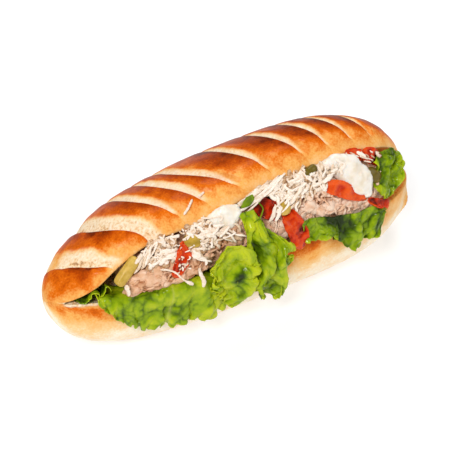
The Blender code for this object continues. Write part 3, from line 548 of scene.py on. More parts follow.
def baked_crust_material(settings):
    """Egg-washed crust of a baked milk roll.

    Sugar and egg on the dough brown where the heat falls, so the colour follows how far each place is baked,
    and the wash leaves a thin sheen. Torn crumb in the slashes and on the cut is matt, pale and holed, with
    painted shade in its holes.
    """
    material, tree, shader = start_material(
        "egg-washed crust",
        Specular_IOR_Level=0.02,
        Coat_Weight=0.06,
        Coat_Roughness=0.16,
        Subsurface_Weight=0.05,
        Subsurface_Scale=0.0015,
        Subsurface_Radius=(1.0, 0.55, 0.3),
    )
    # Blotches of 7 mm, mottling of 1.2 mm and a grain of 1.6 mm in the crumb.
    noises = ((0.007, 4.0, 0.0, 1.0), (0.0012, 3.0, 0.0, 1.0), (0.0016, 5.0, 0.0, 1.0))
    bake, crumb, porous, blotch, mottle, grain = patterns(tree, ("bake", "crumb", "porous"), noises)
    crust_stops = (
        (0.0, settings.pale),
        (0.22, settings.cream),
        (0.45, settings.golden),
        (0.63, settings.orange),
        (0.80, settings.brown),
        (1.0, settings.dark),
    )
    crust = ramp_colour(tree, bake, crust_stops, [(blotch, 0.34), (mottle, 0.30)], 0.32)
    # Torn crumb is painted darker in its holes, as the shade in them, where the dough has pulled apart.
    holed = add(tree, "ShaderNodeMath", {0: porous, 1: -0.26, 2: grain}, operation="MULTIPLY_ADD").outputs[0]
    crumb_stops = (
        (0.14, colour("#8F5A30")),
        (0.28, colour("#D9A873")),
        (0.42, settings.crumb),
        (0.62, colour("#FCE8CC")),
    )
    torn = ramp_colour(tree, holed, crumb_stops)
    mixed = add(tree, "ShaderNodeMix", {0: crumb, 6: crust, 7: torn}, data_type="RGBA").outputs[2]
    rough = add(tree, "ShaderNodeMath", {0: crumb, 1: 0.44, 2: 0.38}, operation="MULTIPLY_ADD").outputs[0]
    pits = add(tree, "ShaderNodeMath", {0: holed, 1: crumb}, operation="MULTIPLY").outputs[0]
    reliefs = ((mottle, 0.22, 0.0006), (pits, 0.9, 0.0012))
    finish_shader(tree, shader, reliefs, Base_Color=mixed, Roughness=rough)
    return material


def lettuce_material(settings):
    """Fresh leaf lettuce.

    A wet waxy skin over thin watery flesh: light glows through it, the sunken lines between its blisters are
    painted deep green as shade, and the tops of the blisters are painted yellow-green as light and catch
    small bright highlights.
    """
    # Patches of 5 mm and a fine grain of 0.8 mm.
    material = toned_material(
        "leaf lettuce",
        ((0.0, settings.shade), (0.30, settings.deep), (0.60, settings.fresh), (1.0, settings.bright)),
        noises=((0.005, 3.0, 0.0, 1.0), (0.0008, 2.0, 0.0, 1.0)),
        share=0.7,
        offset=0.35,
        reliefs=((1, 0.18, 0.0004),),
        Roughness=0.36,
        Specular_IOR_Level=0.03,
        Subsurface_Weight=0.08,
        Subsurface_Scale=0.0010,
        Subsurface_Radius=(0.8, 1.0, 0.1),
        Coat_Weight=0.30,
        Coat_Roughness=0.08,
    )
    tree = material.node_tree
    base = tree.nodes["Principled BSDF"].inputs["Base Color"]
    vein = add(tree, "ShaderNodeAttribute", attribute_name="vein").outputs["Fac"]
    inputs = {0: vein, 6: base.links[0].from_socket, 7: (*settings.vein, 1)}
    tree.links.new(add(tree, "ShaderNodeMix", inputs, data_type="RGBA").outputs[2], base)
    return material


def tuna_material(settings):
    """Flaked cooked tuna bound with a little dressing.

    Short muscle fibres, pink-beige with browner seams, moist but not shiny; the seams, crags and grooves are
    also painted darker as the shade in them.
    """
    # Seams 3.5 mm apart, which sink in the relief and are painted darker there as shade, and fibres of 0.7 mm
    # that run lengthwise.
    return toned_material(
        "flaked tuna",
        ((0.05, settings.seam), (0.35, settings.flesh), (0.7, settings.pink), (1.0, settings.light)),
        noises=((0.0035, 4.0, 0.0, 1.0), (0.0007, 3.0, 0.0, 1 / 0.35)),
        share=0.9,
        offset=0.45,
        reliefs=((0, 0.5, 0.0012), (1, 0.5, 0.0006)),
        Roughness=0.5,
        Specular_IOR_Level=0.12,
        Coat_Weight=0.06,
        Coat_Roughness=0.3,
    )


def tomato_material(settings):
    """Half-dried tomato in oil.

    A taut glossy skin that has shrunk into wrinkles, deep red in the folds, partly its own colour and partly
    painted shade, and orange where it is thin.
    """
    # Patches of 4 mm and wrinkles of 1.1 mm.
    return toned_material(
        "dried tomato in oil",
        ((0.1, settings.fold), (0.45, settings.red), (0.8, settings.orange)),
        noises=((0.004, 3.0, 0.0, 1.0), (0.0011, 2.0, 1.0, 1.0)),
        share=0.7,
        offset=0.35,
        reliefs=((1, 0.5, 0.0008),),
        Roughness=0.30,
        Specular_IOR_Level=0.03,
        Subsurface_Weight=0.12,
        Subsurface_Scale=0.0010,
        Subsurface_Radius=(1.0, 0.25, 0.1),
        Coat_Weight=0.28,
        Coat_Roughness=0.10,
    )


def gherkin_material(settings):
    """Pickled gherkin, cut.

    Firm glassy flesh, dull yellow-green with an olive rind, wet all over.
    """
    # Patches of 2.5 mm, which raise the surface too.
    return toned_material(
        "pickled gherkin flesh",
        ((0.05, settings.rind), (0.5, settings.flesh), (0.9, settings.light)),
        noises=((0.0025, 3.0, 0.0, 1.0),),
        share=0.6,
        offset=0.3,
        reliefs=((0, 0.35, 0.0007),),
        Roughness=0.28,
        Specular_IOR_Level=0.05,
        Subsurface_Weight=0.3,
        Subsurface_Scale=0.002,
        Subsurface_Radius=(1.0, 0.9, 0.3),
        Coat_Weight=0.3,
        Coat_Roughness=0.1,
    )


def mayonnaise_material(settings):
    """Mayonnaise: a smooth fat emulsion, almost white, with a soft wet gloss and swirls of 6 mm."""
    material, tree, shader = start_material(
        "mayonnaise",
        Roughness=0.3,
        Specular_IOR_Level=0.2,
        Subsurface_Weight=0.4,
        Subsurface_Scale=0.003,
        Subsurface_Radius=(1.0, 0.8, 0.6),
        Coat_Weight=0.4,
        Coat_Roughness=0.15,
    )
    swirl = patterns(tree, (), ((0.006, 2.0, 0.0, 1.0),))[0]
    # Painted shade: the swirl's low places, which the bump sets back, take the shade colour.
    colours = ramp_colour(tree, swirl, ((0.35, settings.shade), (0.6, settings.cream)))
    finish_shader(tree, shader, ((swirl, 0.3, 0.001),), Base_Color=colours)
    return material


def cheese_material(settings):
    """Young hard cheese, freshly grated: waxy, pale cream and matt where it is torn, painted tan deep in a
    heap as shade.
    """
    # A grain of 1.2 mm over the tone of each shred.
    return toned_material(
        "grated young cheese",
        ((0.0, settings.deep), (0.4, settings.shade), (0.8, settings.light)),
        noises=((0.0012, 2.0, 0.0, 1.0),),
        share=0.8,
        offset=0.47,
        reliefs=((0, 0.4, 0.0004),),
        Roughness=0.5,
        Specular_IOR_Level=0.15,
    )


def colour_property(name, hexadecimal, description):
    """A colour setting, its default given as an sRGB hex."""
    default = colour(hexadecimal)[:3]
    return bpy.props.FloatVectorProperty(
        name=name, description=description, subtype="COLOR", size=3, min=0, max=1, default=default
    )


def length_property(name, description, default, low, high):
    """A length setting in metres."""
    return bpy.props.FloatProperty(
        name=name, description=description, default=default, min=low, max=high, unit="LENGTH"
    )


class RollSettings(bpy.types.PropertyGroup):
    pale: colour_property("Pale", "#FCEFD8", "Crust that has barely browned, low on the roll")
    cream: colour_property("Cream", "#F5CC92", "Crust just turning golden")
    golden: colour_property("Golden", "#EEAB58", "Lightly browned crust")
    orange: colour_property("Orange", "#DC6A0E", "Well browned crust")
    brown: colour_property("Brown", "#B44604", "Deep brown crust on the ridges")
    dark: colour_property("Dark", "#6C2405", "Darkest crust, at the edges of the slashes")
    crumb: colour_property("Crumb", "#F3D3A8", "Torn crumb in the slashes and on the cut")
    bake: bpy.props.FloatProperty(
        name="Bake", description="How far the whole roll is browned", default=1.0, min=0.3, max=1.4
    )


class LeafSettings(bpy.types.PropertyGroup):
    bright: colour_property("Bright", "#B6C01C", "Thin outer parts of the leaves")
    fresh: colour_property("Fresh", "#86A00A", "Main green of the leaves")
    deep: colour_property("Deep", "#4C6604", "Shaded and thicker parts")
    shade: colour_property("Shade", "#1E2E02", "Hearts of the folds")
    vein: colour_property("Vein", "#C3C85C", "Veins")
    thickness: length_property("Thickness", "Thickness of a leaf", 0.0007, 0.0004, 0.0012)
    blister: length_property("Blister height", "How far a leaf swells between its veins", 0.0008, 0.0, 0.002)


class TunaSettings(bpy.types.PropertyGroup):
    # The seam colour is partly the browner fish and partly painted shade in the seams and crevices.
    seam: colour_property("Seam", "#A9683F", "Browner seams between flakes")
    flesh: colour_property("Flesh", "#DBA982", "Main colour of the flakes")
    pink: colour_property("Pink", "#E9BE9E", "Pinker fibres")
    light: colour_property("Light", "#F3D6BE", "Flakes coated with dressing")
    chunks: bpy.props.IntProperty(
        name="Chunks", description="Number of broken chunks", default=170, min=40, max=300
    )
    slivers: bpy.props.IntProperty(
        name="Slivers", description="Number of loose slivers", default=420, min=0, max=900
    )


class TomatoSettings(bpy.types.PropertyGroup):
    # The fold colour is partly the tomato's deeper red and partly painted shade in the folds.
    fold: colour_property("Fold", "#5A0E02", "Dark red in the folds")
    red: colour_property("Red", "#C83006", "Main red")
    orange: colour_property("Orange", "#E65A1E", "Thin orange parts")


class GherkinSettings(bpy.types.PropertyGroup):
    rind: colour_property("Rind", "#6A5A1C", "Olive rind")
    flesh: colour_property("Flesh", "#B89636", "Flesh")
    light: colour_property("Light", "#DDB964", "Wet light flesh")


class CreamSettings(bpy.types.PropertyGroup):
    cream: colour_property("Cream", "#F1EADF", "Mayonnaise in the light")
    # Painted shade in the hollows of the swirls, a little yellower.
    shade: colour_property("Shade", "#E6D8C2", "Yellower mayonnaise in its hollows")


class CheeseSettings(bpy.types.PropertyGroup):
    light: colour_property("Light", "#F8EADB", "Cut faces of the shreds on top")
    shade: colour_property("Shade", "#DFC3A3", "Torn sides of the shreds")
    # Painted shade deep in a heap: the tan of the lumps under it and of its lowest shreds.
    deep: colour_property("Deep", "#A9784A", "Cheese deep in a heap, stained by the dressing")
    width: length_property("Shred width", "Width of a grated shred", 0.0019, 0.001, 0.003)


class StageSettings(bpy.types.PropertyGroup):
    floor: colour_property("Floor", "#C4C4C4", "Plain pale floor")
    light: bpy.props.FloatProperty(
        name="Light", description="Brightness of the studio light", default=1.0, min=0.2, max=3.0
    )


# The roll

ROLL_STATIONS = 440
CRUST_POINTS = 168
CUT_POINTS = 25
FLAP_PLACE = 0.1125
FLAP_RISE = 0.0026


def roll_stations(count):
    """Places along the roll, closer together at the edges of the slashes and at the tips."""
    x = np.linspace(-0.4994, 0.4994, 8001) * ROLL_LENGTH
    edges = np.array([slash[0] for slash in SLASHES])
    dense = 1 + 3.0 * np.exp(-(((x[:, None] - edges[None, :] + 0.0004) / 0.0011) ** 2)).sum(axis=1)
    dense += 2.0 * np.exp(-(((np.abs(x) - ROLL_LENGTH / 2) / 0.004) ** 2))
    run = np.cumsum(dense)
    return np.interp(np.linspace(run[0], run[-1], count), run, x)


def small_flap(x_station, phi):
    """Where a small flap of crust stands off the far end, from 0 to 1: a rounded ridge that slopes down."""
    across = (phi - 200.0 - 1200.0 * (FLAP_PLACE - x_station)) / 4.0
    return np.exp(-(((x_station - FLAP_PLACE) / 0.0050) ** 2) - across**2)


# How much the crown browns at places along the roll.
CROWN_BAKE = (
    (-0.125, 0.16), (-0.105, 0.23), (-0.085, 0.28), (-0.045, 0.33), (0.0, 0.42), (0.07, 0.45), (0.125, 0.42),
)


def browning(points, phi, x_station, kind):
    """How far each place is baked, from 0 pale to 1 dark, how much is bare crumb and how porous that is.

    The crust is darkest over the crown and pale low on its sides. Each slash starts with a pale band at a
    crisp edge, then browns towards the next slash.
    """
    after, before, width, reach, next_reach = slash_places(x_station, phi)
    share = after / (after + before + 1e-6)
    crust = np.broadcast_to(kind[None, :] < 0.5, phi.shape)
    x = points[..., 0]
    wide_band = np.clip((width - 0.004) / 0.0045, 0, 1)
    # The crown browns less towards the near tip.
    deepest = np.interp(x_station, *zip(*CROWN_BAKE))
    crown = 0.42 + deepest * smooth(372, 430, phi) * (1 - smooth(480, 534, phi)) ** 0.8
    tone = -0.20 * (1 - smooth(0.08, 0.55, share)) + 0.15 * smooth(0.50, 0.98, share)
    slashed = np.maximum(reach, next_reach) * (1 - smooth(500, 532, phi))
    ridge = crown + tone * (0.15 + 0.85 * slashed)
    near = smooth(-0.075, -0.095, x_station)
    scorch = np.exp(-((before / 0.0045) ** 2)) * next_reach * smooth(-0.4, 0.5, cloud(points, 0.0050, 21, 2))
    ridge = ridge + near * 0.20 * scorch + near * 0.10 * smooth(-0.1, 0.6, cloud(points, 0.0075, 22, 2))
    back = smooth(300, 365, phi)
    sole = 1 - smooth(0.0002, 0.0030, points[..., 2])
    patches = cloud(points, 0.020, 3, 2)
    streaks = cloud(points * [0.45, 1.0, 1.0], 0.005, 12, 2)
    tip = smooth(-0.085, -0.112, x)
    far = smooth(0.070, 0.115, x)
    # Below the lower lip a browned strip fades to pale crust: broad at the near tip, faint at the far one.
    front = 1 - smooth(175, 204 + 34 * tip, phi)
    strip = 0.50 - 0.09 * tip - 0.22 * far + 0.12 * patches + 0.14 * streaks
    strip = strip + (0.10 + 0.16 * streaks) * np.exp(-(((x - 0.012) / 0.030) ** 2))
    strip = strip + 0.26 * np.exp(-(((x + 0.1075) / 0.0060) ** 2) - ((phi - 181.5) / 3.5) ** 2)
    side = 0.05 + strip * front + 0.50 * back + 0.30 * sole
    side = side + 0.45 * small_flap(x_station, phi)
    top = smooth(352, 392, phi)
    baked = side * (1 - top) + ridge * top
    # The first slash fades out before the crown, and all narrow to a point towards the front.
    first = (x_station > SLASHES[0][0]) & (x_station < SLASHES[1][0])
    # At the back the slashes run out at uneven heights.
    begin = np.where(first, smooth(426, 450, phi), smooth(398, 426, phi) * wide_band + (1 - wide_band))
    begin = begin * smooth(364, 388, phi + 12 * cloud(points, 0.018, 26, 1))
    taper = 1 - 0.70 * (1 - 0.8 * wide_band) * smooth(480, 522, phi)
    broad = width * taper * (1.15 - 0.15 * wide_band)
    band = (1 - smooth(0.80, 1.45, after / broad + 0.12 * cloud(points, 0.0040, 23, 2))) * reach * begin
    baked = baked * (1 - band) + (0.10 + 0.06 * far) * band
    lip = np.exp(-(((phi - 538.5) / 2.5) ** 2)) * top
    baked = baked - 0.10 * lip
    blotches = 0.5 + 0.5 * smooth(-0.5, 0.5, cloud(points, 0.045, 15, 1))
    baked = baked + 0.10 * blotches * cloud(points, 0.011, 5, 3) * (1 - band)
    baked = baked + 0.05 * cloud(points, 0.0035, 6, 2)
    torn = smooth(-0.7, 0.2, cloud(points, 0.006, 8, 2) + 1.0 * wide_band)
    crumb = band * (0.60 + 0.40 * wide_band) * torn
    # Ragged crumb shows along the lower lip near the tip.
    ragged = smooth(-0.100, -0.104, x) * smooth(-0.1205, -0.1190, x)
    ragged = ragged * (1 - smooth(2.0, 5.0, phi - 168.0 + 3.0 * cloud(points, 0.003, 24, 2)))
    crumb = np.where(crust, np.maximum(crumb, ragged), smooth(-0.1225, -0.1195, x) * smooth(0.098, 0.090, x))
    baked = np.where(crust, baked, baked + 0.14 * smooth(0.090, 0.098, x))
    broken = smooth(-0.3, 0.4, cloud(points * [0.5, 1, 1], 0.006, 25, 2))
    line = np.exp(-(((after / width - 0.30) / 0.17) ** 2)) * broken
    porous = np.where(crust, line * smooth(0.2, 0.6, wide_band), 0.3)
    return np.clip(baked, 0, 1), crumb, porous


class SANDWICH_OT_roll(bpy.types.Operator):
    """Make the slashed and cut roll, with its browning and torn crumb"""

    bl_idname = "sandwich.roll"
    bl_label = "Baked roll"

    def execute(self, context):
        settings = context.scene.sandwich_roll
        kind, along = roll_loop(CRUST_POINTS, CUT_POINTS)
        rings, phi, x_station = roll_points(roll_stations(ROLL_STATIONS), kind, along)
        bake, crumb, porous = browning(rings, phi, x_station, kind)
        lift = 0.00018 * cloud(rings, 0.006, 1, 3) + 0.00035 * crumb * cloud(rings, 0.0024, 2, 3)
        lift = (lift + FLAP_RISE * small_flap(x_station, phi)) * smooth(0.0, 0.004, rings[..., 2])
        rings = displaced(rings, lift)
        rings[..., 2] = np.maximum(rings[..., 2], 0)
        poles = np.array([rings[0].mean(axis=0), rings[-1].mean(axis=0)]) + [[-0.0002, 0, 0], [0.0002, 0, 0]]
        points = tube_points(rings[None], poles[:1], poles[1:])
        faces = tube_faces(1, *rings.shape[:2])
        values = {"bake": bake * settings.bake, "crumb": crumb, "porous": porous}
        values = {label: tube_values(value) for label, value in values.items()}
        material = baked_crust_material(settings)
        piece("baked_roll", points, faces, material, ["roll"], "baked crust", values)
        return {"FINISHED"}


# The leaves: how far each stands off the bread and is shifted along the roll, in mm, at u along the leaf,
# v across it and q mm past the lip.


def left_stand(u, v, q):
    hang = smooth(-4, 20, q)
    wave = np.sin(2 * np.pi * (5.2 * u + 0.35 * v)) + 0.5 * np.sin(2 * np.pi * (9.1 * u - 0.8 * v) + 1.0)
    fade = smooth(0.0, 0.12, u) * (1 - 0.8 * smooth(0.80, 0.97, u))
    off = 1.6 + 1.4 * (1 - smooth(0.0, 0.22, u)) + (2.4 + 1.9 * wave) * hang * fade
    off = off + 0.35 * (1 + np.sin(2 * np.pi * (7 * u + 1.5 * v)))
    return off, 2.5 * hang * fade * np.cos(2 * np.pi * 5.2 * u)


def middle_left_stand(u, v, q):
    side = np.abs(2 * u - 1)
    rim = np.clip(np.maximum(side**2, (2 * v - 1.0) ** 2), 0, 1)
    off = 4.0 + 6.4 * rim + 1.2 * np.sin(2 * np.pi * (3 * v + u))
    off = off - 4.0 * smooth(0.85, 1.0, v) - 3.0 * smooth(0.8, 1.0, side)
    return off, 1.5 * np.sin(2 * np.pi * (2.5 * v + 0.2)) + 0 * u


def middle_right_stand(u, v, q):
    hang = smooth(-36, 6, q)
    wave = np.sin(2 * np.pi * (2.4 * u + 0.55 * v) + 0.4) + 0.45 * np.sin(2 * np.pi * (4.7 * u - 1.4 * v))
    edge = smooth(0.0, 0.15, u) * (1 - smooth(0.85, 1.0, u))
    off = 4.2 + (3.0 + 2.7 * wave) * (0.35 + 0.65 * hang) * (0.3 + 0.7 * edge)
    return np.maximum(off, 2.4), 2.2 * np.sin(2 * np.pi * (1.6 * v + 1.2 * u))


def right_stand(u, v, q):
    hang = smooth(-10, 12, q)
    wave = np.sin(2 * np.pi * (3.4 * u + 0.4 * v)) + 0.4 * np.sin(2 * np.pi * (6.3 * u - v))
    off = 3.2 + (2.6 + 2.4 * wave) * (0.3 + 0.7 * hang)
    return np.maximum(off, 1.8), 2.0 * hang * np.cos(2 * np.pi * 3.4 * u)


def end_stand(u, v, q):
    wave = np.sin(2 * np.pi * (1.6 * u + 1.1 * v) + 0.6) + 0.5 * np.sin(2 * np.pi * (3.1 * v - u))
    return np.maximum(3.0 + 1.7 * wave, 1.4), 2.0 * np.sin(2 * np.pi * (1.3 * v)) + 0 * u


# Each leaf: its node, whether it starts up the front, its ends along the roll in mm, its inner and outer
# edges in mm past the lip, where it turns over the lip, its stand-off, its rows and columns, its tone from
# 0 dark to 1 bright, the strength of its frills, its ribs and the painted shade of its hollows.
LEAVES = (
    (
        "lettuce_left", False, -105, -23, ((0, -17), (1, -17)),
        ((0, 1), (0.09, 6), (0.16, 14), (0.28, 20), (0.5, 22), (0.75, 24), (0.92, 23), (1, 10)),
        4 / 7, left_stand, 150, 84, 0.70, 1.0, ((0.52, -0.06),), ((0.35, 0.12, 0.55, 0.08, 0.3),),
    ),
    (
        "lettuce_middle_left", True, -40, -12, ((0, -13), (0.25, -22), (0.6, -20), (0.85, -14), (1, -4)),
        ((0, 3), (0.12, 6), (0.43, 19), (0.6, 22), (0.8, 21), (1, 13)),
        6 / 11, middle_left_stand, 72, 84, 0.98, 0.9, (), ((0.85, 0.66, 0.62, 0.17, 0.20),),
    ),
    (
        "lettuce_middle_right", True, -17, 12.5,
        ((0, -35), (0.28, -34), (0.42, -28), (0.72, -18), (0.9, -10), (1, -4)),
        ((0, 4), (0.25, 14), (0.42, 25), (0.72, 25), (0.82, 13), (1, 3)),
        1 / 2, middle_right_stand, 80, 100, 0.76, 0.9, (),
        ((0.45, 0.0, 0.45, 0.12, 0.25), (0.22, 0.28, 0.12, 0.25, 0.22)),
    ),
    (
        "lettuce_right", True, 23, 85,
        ((0, -18), (0.15, -17), (0.35, -12), (0.6, -9), (0.85, -8), (1, -4)),
        ((0, -4), (0.3, -1), (0.42, 4), (0.55, 13), (0.65, 14), (0.78, 11), (0.9, 10), (1, 6)),
        4 / 7, right_stand, 130, 80, 0.47, 0.8, (),
        ((0.5, 0.43, 0.15, 0.10, 0.25), (0.25, 0.05, 0.4, 0.22, 0.5)),
    ),
    (
        "lettuce_end", True, 81, 108, ((0, -32), (0.3, -35), (0.7, -32), (1, -24)),
        ((0, -10), (0.3, -6), (0.6, -10), (0.85, -15), (1, -17)),
        1 / 2, end_stand, 76, 80, 0.62, 0.8, (), ((0.5, 0.22, 0.45, 0.2, 0.35),),
    ),
)


def leaf_sheet(mouth, up_front, x_from, x_to, inner, outer, turn_at, stand, rows, cols):
    """A leaf that follows the bread, across it from inner to outer, standing off it by waves in mm."""
    u = np.linspace(0, 1, rows)[:, None]
    v = np.linspace(0, 1, cols)[None, :]
    low, high = knots(u, inner), knots(u, outer)
    turn = np.where(high > 3, 0.0, (low + high) / 2)
    before, after = low + (turn - low) * v / turn_at, turn + (high - turn) * (v - turn_at) / (1 - turn_at)
    q = np.where(v < turn_at, before, after)
    x = (x_from + (x_to - x_from) * u) / 1000 + 0 * v
    here, outward = mouth.lay(x, q / 1000, up_front)
    off, shift = stand(u, v, q)
    off = (off + LIP_ROOM * np.exp(-((q / 6) ** 2))) / 1000
    return np.concatenate([(x + shift / 1000)[..., None], here + outward * off[..., None]], axis=-1)


def curl_sheet(mouth, rows, cols):
    """The folded leaf at the near end of the mouth: a wavy sheet from its front to near the hinge."""
    u = np.linspace(0, 1, rows)[:, None]
    v = np.linspace(0, 1, cols)[None, :]
    s = 0.5 + 0.24 * np.sin(2 * np.pi * (2.3 * u + 1.2 * v)) * (0.5 + 0.5 * u)
    return mouth.front(-0.1135 + 0.0165 * u, s, 0.0004 * np.sin(9 * u), 0.62 - 0.60 * v)


# The blisters of a leaf: the share of each size, the size in mm and what is added to the leaf's seed.
BLISTERS = ((0.62, 6.5, 0), (0.38, 3.4, 2), (0.22, 1.8, 4))


def leaf_mesh(sheet, thickness, blister, seed, tone, frills, ribs, hollow=()):
    """A thin closed leaf about a sheet of points.

    The sheet swells into blisters between sunken lines, where a soft random value crosses zero, and is thrown
    into waves towards its edges. Ribs are places along it where a pale rib runs across, each with its slope.
    Hollow paints shade into the heart of a fold: how much, where along and across the sheet, and how far each
    way.
    """
    rows, cols = sheet.shape[:2]
    down = np.cumsum(np.linalg.norm(np.diff(sheet, axis=0, prepend=sheet[:1]), axis=-1), axis=0) * 1000
    across = np.cumsum(np.linalg.norm(np.diff(sheet, axis=1, prepend=sheet[:, :1]), axis=-1), axis=1) * 1000
    u = np.linspace(0, 1, rows)[:, None]
    v = np.linspace(0, 1, cols)[None, :]
    flat = np.stack([down, across, np.full_like(down, 3.1 * seed)], axis=-1)
    shaken = flat + 1.4 * cloud(flat, 6.0, seed + 1, 1)[..., None]
    normal = unit(np.cross(np.gradient(sheet, axis=0), np.gradient(sheet, axis=1)))
    outward = np.sign((normal * [0.0, -0.8, 0.6]).sum(axis=-1).mean())
    normal = normal * outward
    to_side = np.minimum(down, down.max(axis=0) - down)
    to_edge = np.minimum(across.max(axis=1, keepdims=True) - across, to_side)
    frill = (1 - smooth(0.0, 10.0, to_edge)) * frills
    tooth = (1 - smooth(0.0, 5.0, to_edge)) * frills
    run = down + 0.6 * across + 2.5 * cloud(flat, 7.0, seed + 3, 1)
    wave = np.sin(run * 0.80) + 0.40 * np.sin(run * 1.9 + 1.0)
    scallop = np.sqrt(np.abs(np.sin(run * 0.30 + 0.4)) + 0.02)
    scallop = scallop + 0.35 * np.sqrt(np.abs(np.sin(run * 0.95)) + 0.02)
    folds = cloud(flat, 12.0, seed + 5, 2)
    swell = sum(
        share * np.sqrt(np.abs(cloud(shaken, size, seed + more, 1)) + 0.01) for share, size, more in BLISTERS
    )
    breadth = (1.1 - 0.5 * v) / down.max()
    rib = sum(np.exp(-(((u - place - slope * (v - 0.5)) / breadth) ** 2)) for place, slope in ribs)
    lift = blister * 2.4 * (swell - 0.5) * (1 - 0.45 * tooth) + 0.0022 * folds + 0.0013 * frill * wave
    lift = lift - 0.0004 * rib
    way = unit(np.gradient(sheet, axis=1))
    middle = sheet + normal * lift[..., None] + way * (0.0018 * tooth * (scallop - 0.95))[..., None]
    normal = unit(np.cross(np.gradient(middle, axis=0), np.gradient(middle, axis=1))) * outward
    thin = thickness * (1 - 0.45 * (1 - smooth(0, 5, to_edge)))[..., None]
    points = np.concatenate([middle + normal * thin / 2, middle - normal * thin / 2]).reshape(-1, 3)
    under = rows * cols
    i = np.arange(rows - 1)[:, None] * cols
    j = np.arange(cols - 1)[None, :]
    quad = np.stack([i + j, i + cols + j, i + cols + j + 1, i + j + 1], axis=-1).reshape(-1, 4)
    rim = np.concatenate(
        [
            np.arange(cols),
            np.arange(1, rows) * cols + cols - 1,
            (rows - 1) * cols + np.arange(cols - 2, -1, -1),
            np.arange(rows - 2, 0, -1) * cols,
        ]
    )
    after = np.roll(rim, -1)
    wall = np.stack([rim, after, under + after, under + rim], axis=-1)
    faces = np.concatenate([quad, under + quad[:, ::-1], wall])
    vein = np.clip(0.5 * rib + 0.10 * (1 - smooth(0.10, 0.35, swell)), 0, 0.9)
    edge = np.exp(-((to_edge / 0.6) ** 2))
    # Painted light and shade: the tone is lighter on the tops of the blisters and of the big folds and darker
    # in the sunken lines between them; the edges are paler.
    shade = tone + 0.95 * (swell - 0.60) + 0.50 * folds + 0.10 * (1 - smooth(0, 8, to_edge)) + 0.30 * edge
    for strength, place, depth, wide, tall in hollow:
        shade = shade - strength * np.exp(-(((u - place) / wide) ** 2) - ((v - depth) / tall) ** 2)
    values = {"vein": np.tile(vein.ravel(), 2), "tone": np.tile(shade.ravel(), 2)}
    return points, faces.tolist(), values


class SANDWICH_OT_leaves(bpy.types.Operator):
    """Make the six lettuce leaves, each a thin blistered sheet laid over the bread"""

    bl_idname = "sandwich.leaves"
    bl_label = "Lettuce leaves"

    def execute(self, context):
        settings = context.scene.sandwich_leaves
        material = lettuce_material(settings)
        mouth = Mouth()
        for number, leaf in enumerate(LEAVES):
            node, up_front, x_from, x_to, inner, outer, turn_at, stand, rows, cols, *finish = leaf
            sheet = leaf_sheet(mouth, up_front, x_from, x_to, inner, outer, turn_at, stand, rows, cols)
            made = leaf_mesh(sheet, settings.thickness, settings.blister, 10 * number, *finish)
            piece(node.replace("lettuce", "leaf"), *made[:2], material, [node], "lettuce leaf", made[2])
        sheet = curl_sheet(mouth, 60, 40)
        made = leaf_mesh(sheet, settings.thickness, settings.blister * 0.5, 77, 0.34, 0.4, ())
        piece("leaf_curl", *made[:2], material, ["lettuce_curl"], "lettuce leaf", made[2])
        return {"FINISHED"}


# The tuna salad

CHUNK_GRID = (14, 20)
SLIVER_GRID = (7, 6)
# The wedge's section, as s and depth in the mouth.
TUNA_RING = (
    (0.15, 0.03), (0.34, 0.0), (0.55, 0.0), (0.74, 0.0), (0.85, 0.12),
    (0.86, 0.30), (0.82, 0.45), (0.5, 0.55), (0.22, 0.42), (0.18, 0.2),
)
# Where flakes lie: x from and to in mm, s from and to, and the share of the flakes.
TUNA_PATCHES = (
    (-85, -60, 0.16, 0.55, 7),
    (-58, -34, 0.20, 0.55, 4),
    (-32, -10, 0.35, 0.80, 6),
    (2, 18, 0.25, 0.60, 3),
    (22, 54, 0.30, 0.72, 8),
    (54, 80, 0.14, 0.38, 5),
    (82, 87, 0.35, 0.66, 2),
)


def lumps(centres, axes, radii, seed, rows, around, rough):
    """Many lumpy rounded solids: ellipsoids about their axes, squared a little and made rough."""
    rng = np.random.default_rng(seed)
    polar = np.pi * (np.arange(rows) + 1) / (rows + 1)
    turn = 2 * np.pi * (np.arange(around)[None, :] + 0.5 * (np.arange(rows)[:, None] % 2)) / around
    d = np.stack(
        [
            np.cos(polar)[:, None] + 0 * turn,
            np.sin(polar)[:, None] * np.cos(turn),
            np.sin(polar)[:, None] * np.sin(turn),
        ],
        axis=-1,
    )
    d = np.sign(d) * np.abs(d) ** 0.85
    scale = 1 + rough * rng.uniform(-1, 1, (len(centres), rows, around, 1))
    rings = (d[None] * scale * radii[:, None, None]) @ axes[:, None] + centres[:, None, None]
    tip = radii[:, :1] * axes[:, 0]
    return rings, centres + tip, centres - tip


def join(points, faces, more_points, more_faces):
    """Add points and faces to lists of them, the faces counting on from the points that are there."""
    offset = sum(len(p) for p in points)
    faces += [[corner + offset for corner in face] for face in more_faces]
    points.append(more_points)


def turned(axes, angle, tip):
    """Axes turned in the plane of the front by an angle, and tipped out of it."""
    a, b = np.radians(angle)[:, None], np.radians(tip)[:, None]
    first = axes[:, 0] * np.cos(a) + axes[:, 1] * np.sin(a)
    second = -axes[:, 0] * np.sin(a) + axes[:, 1] * np.cos(a)
    third = axes[:, 2]
    tipped = first * np.cos(b) + third * np.sin(b)
    return np.stack([tipped, second, third * np.cos(b) - first * np.sin(b)], axis=1)


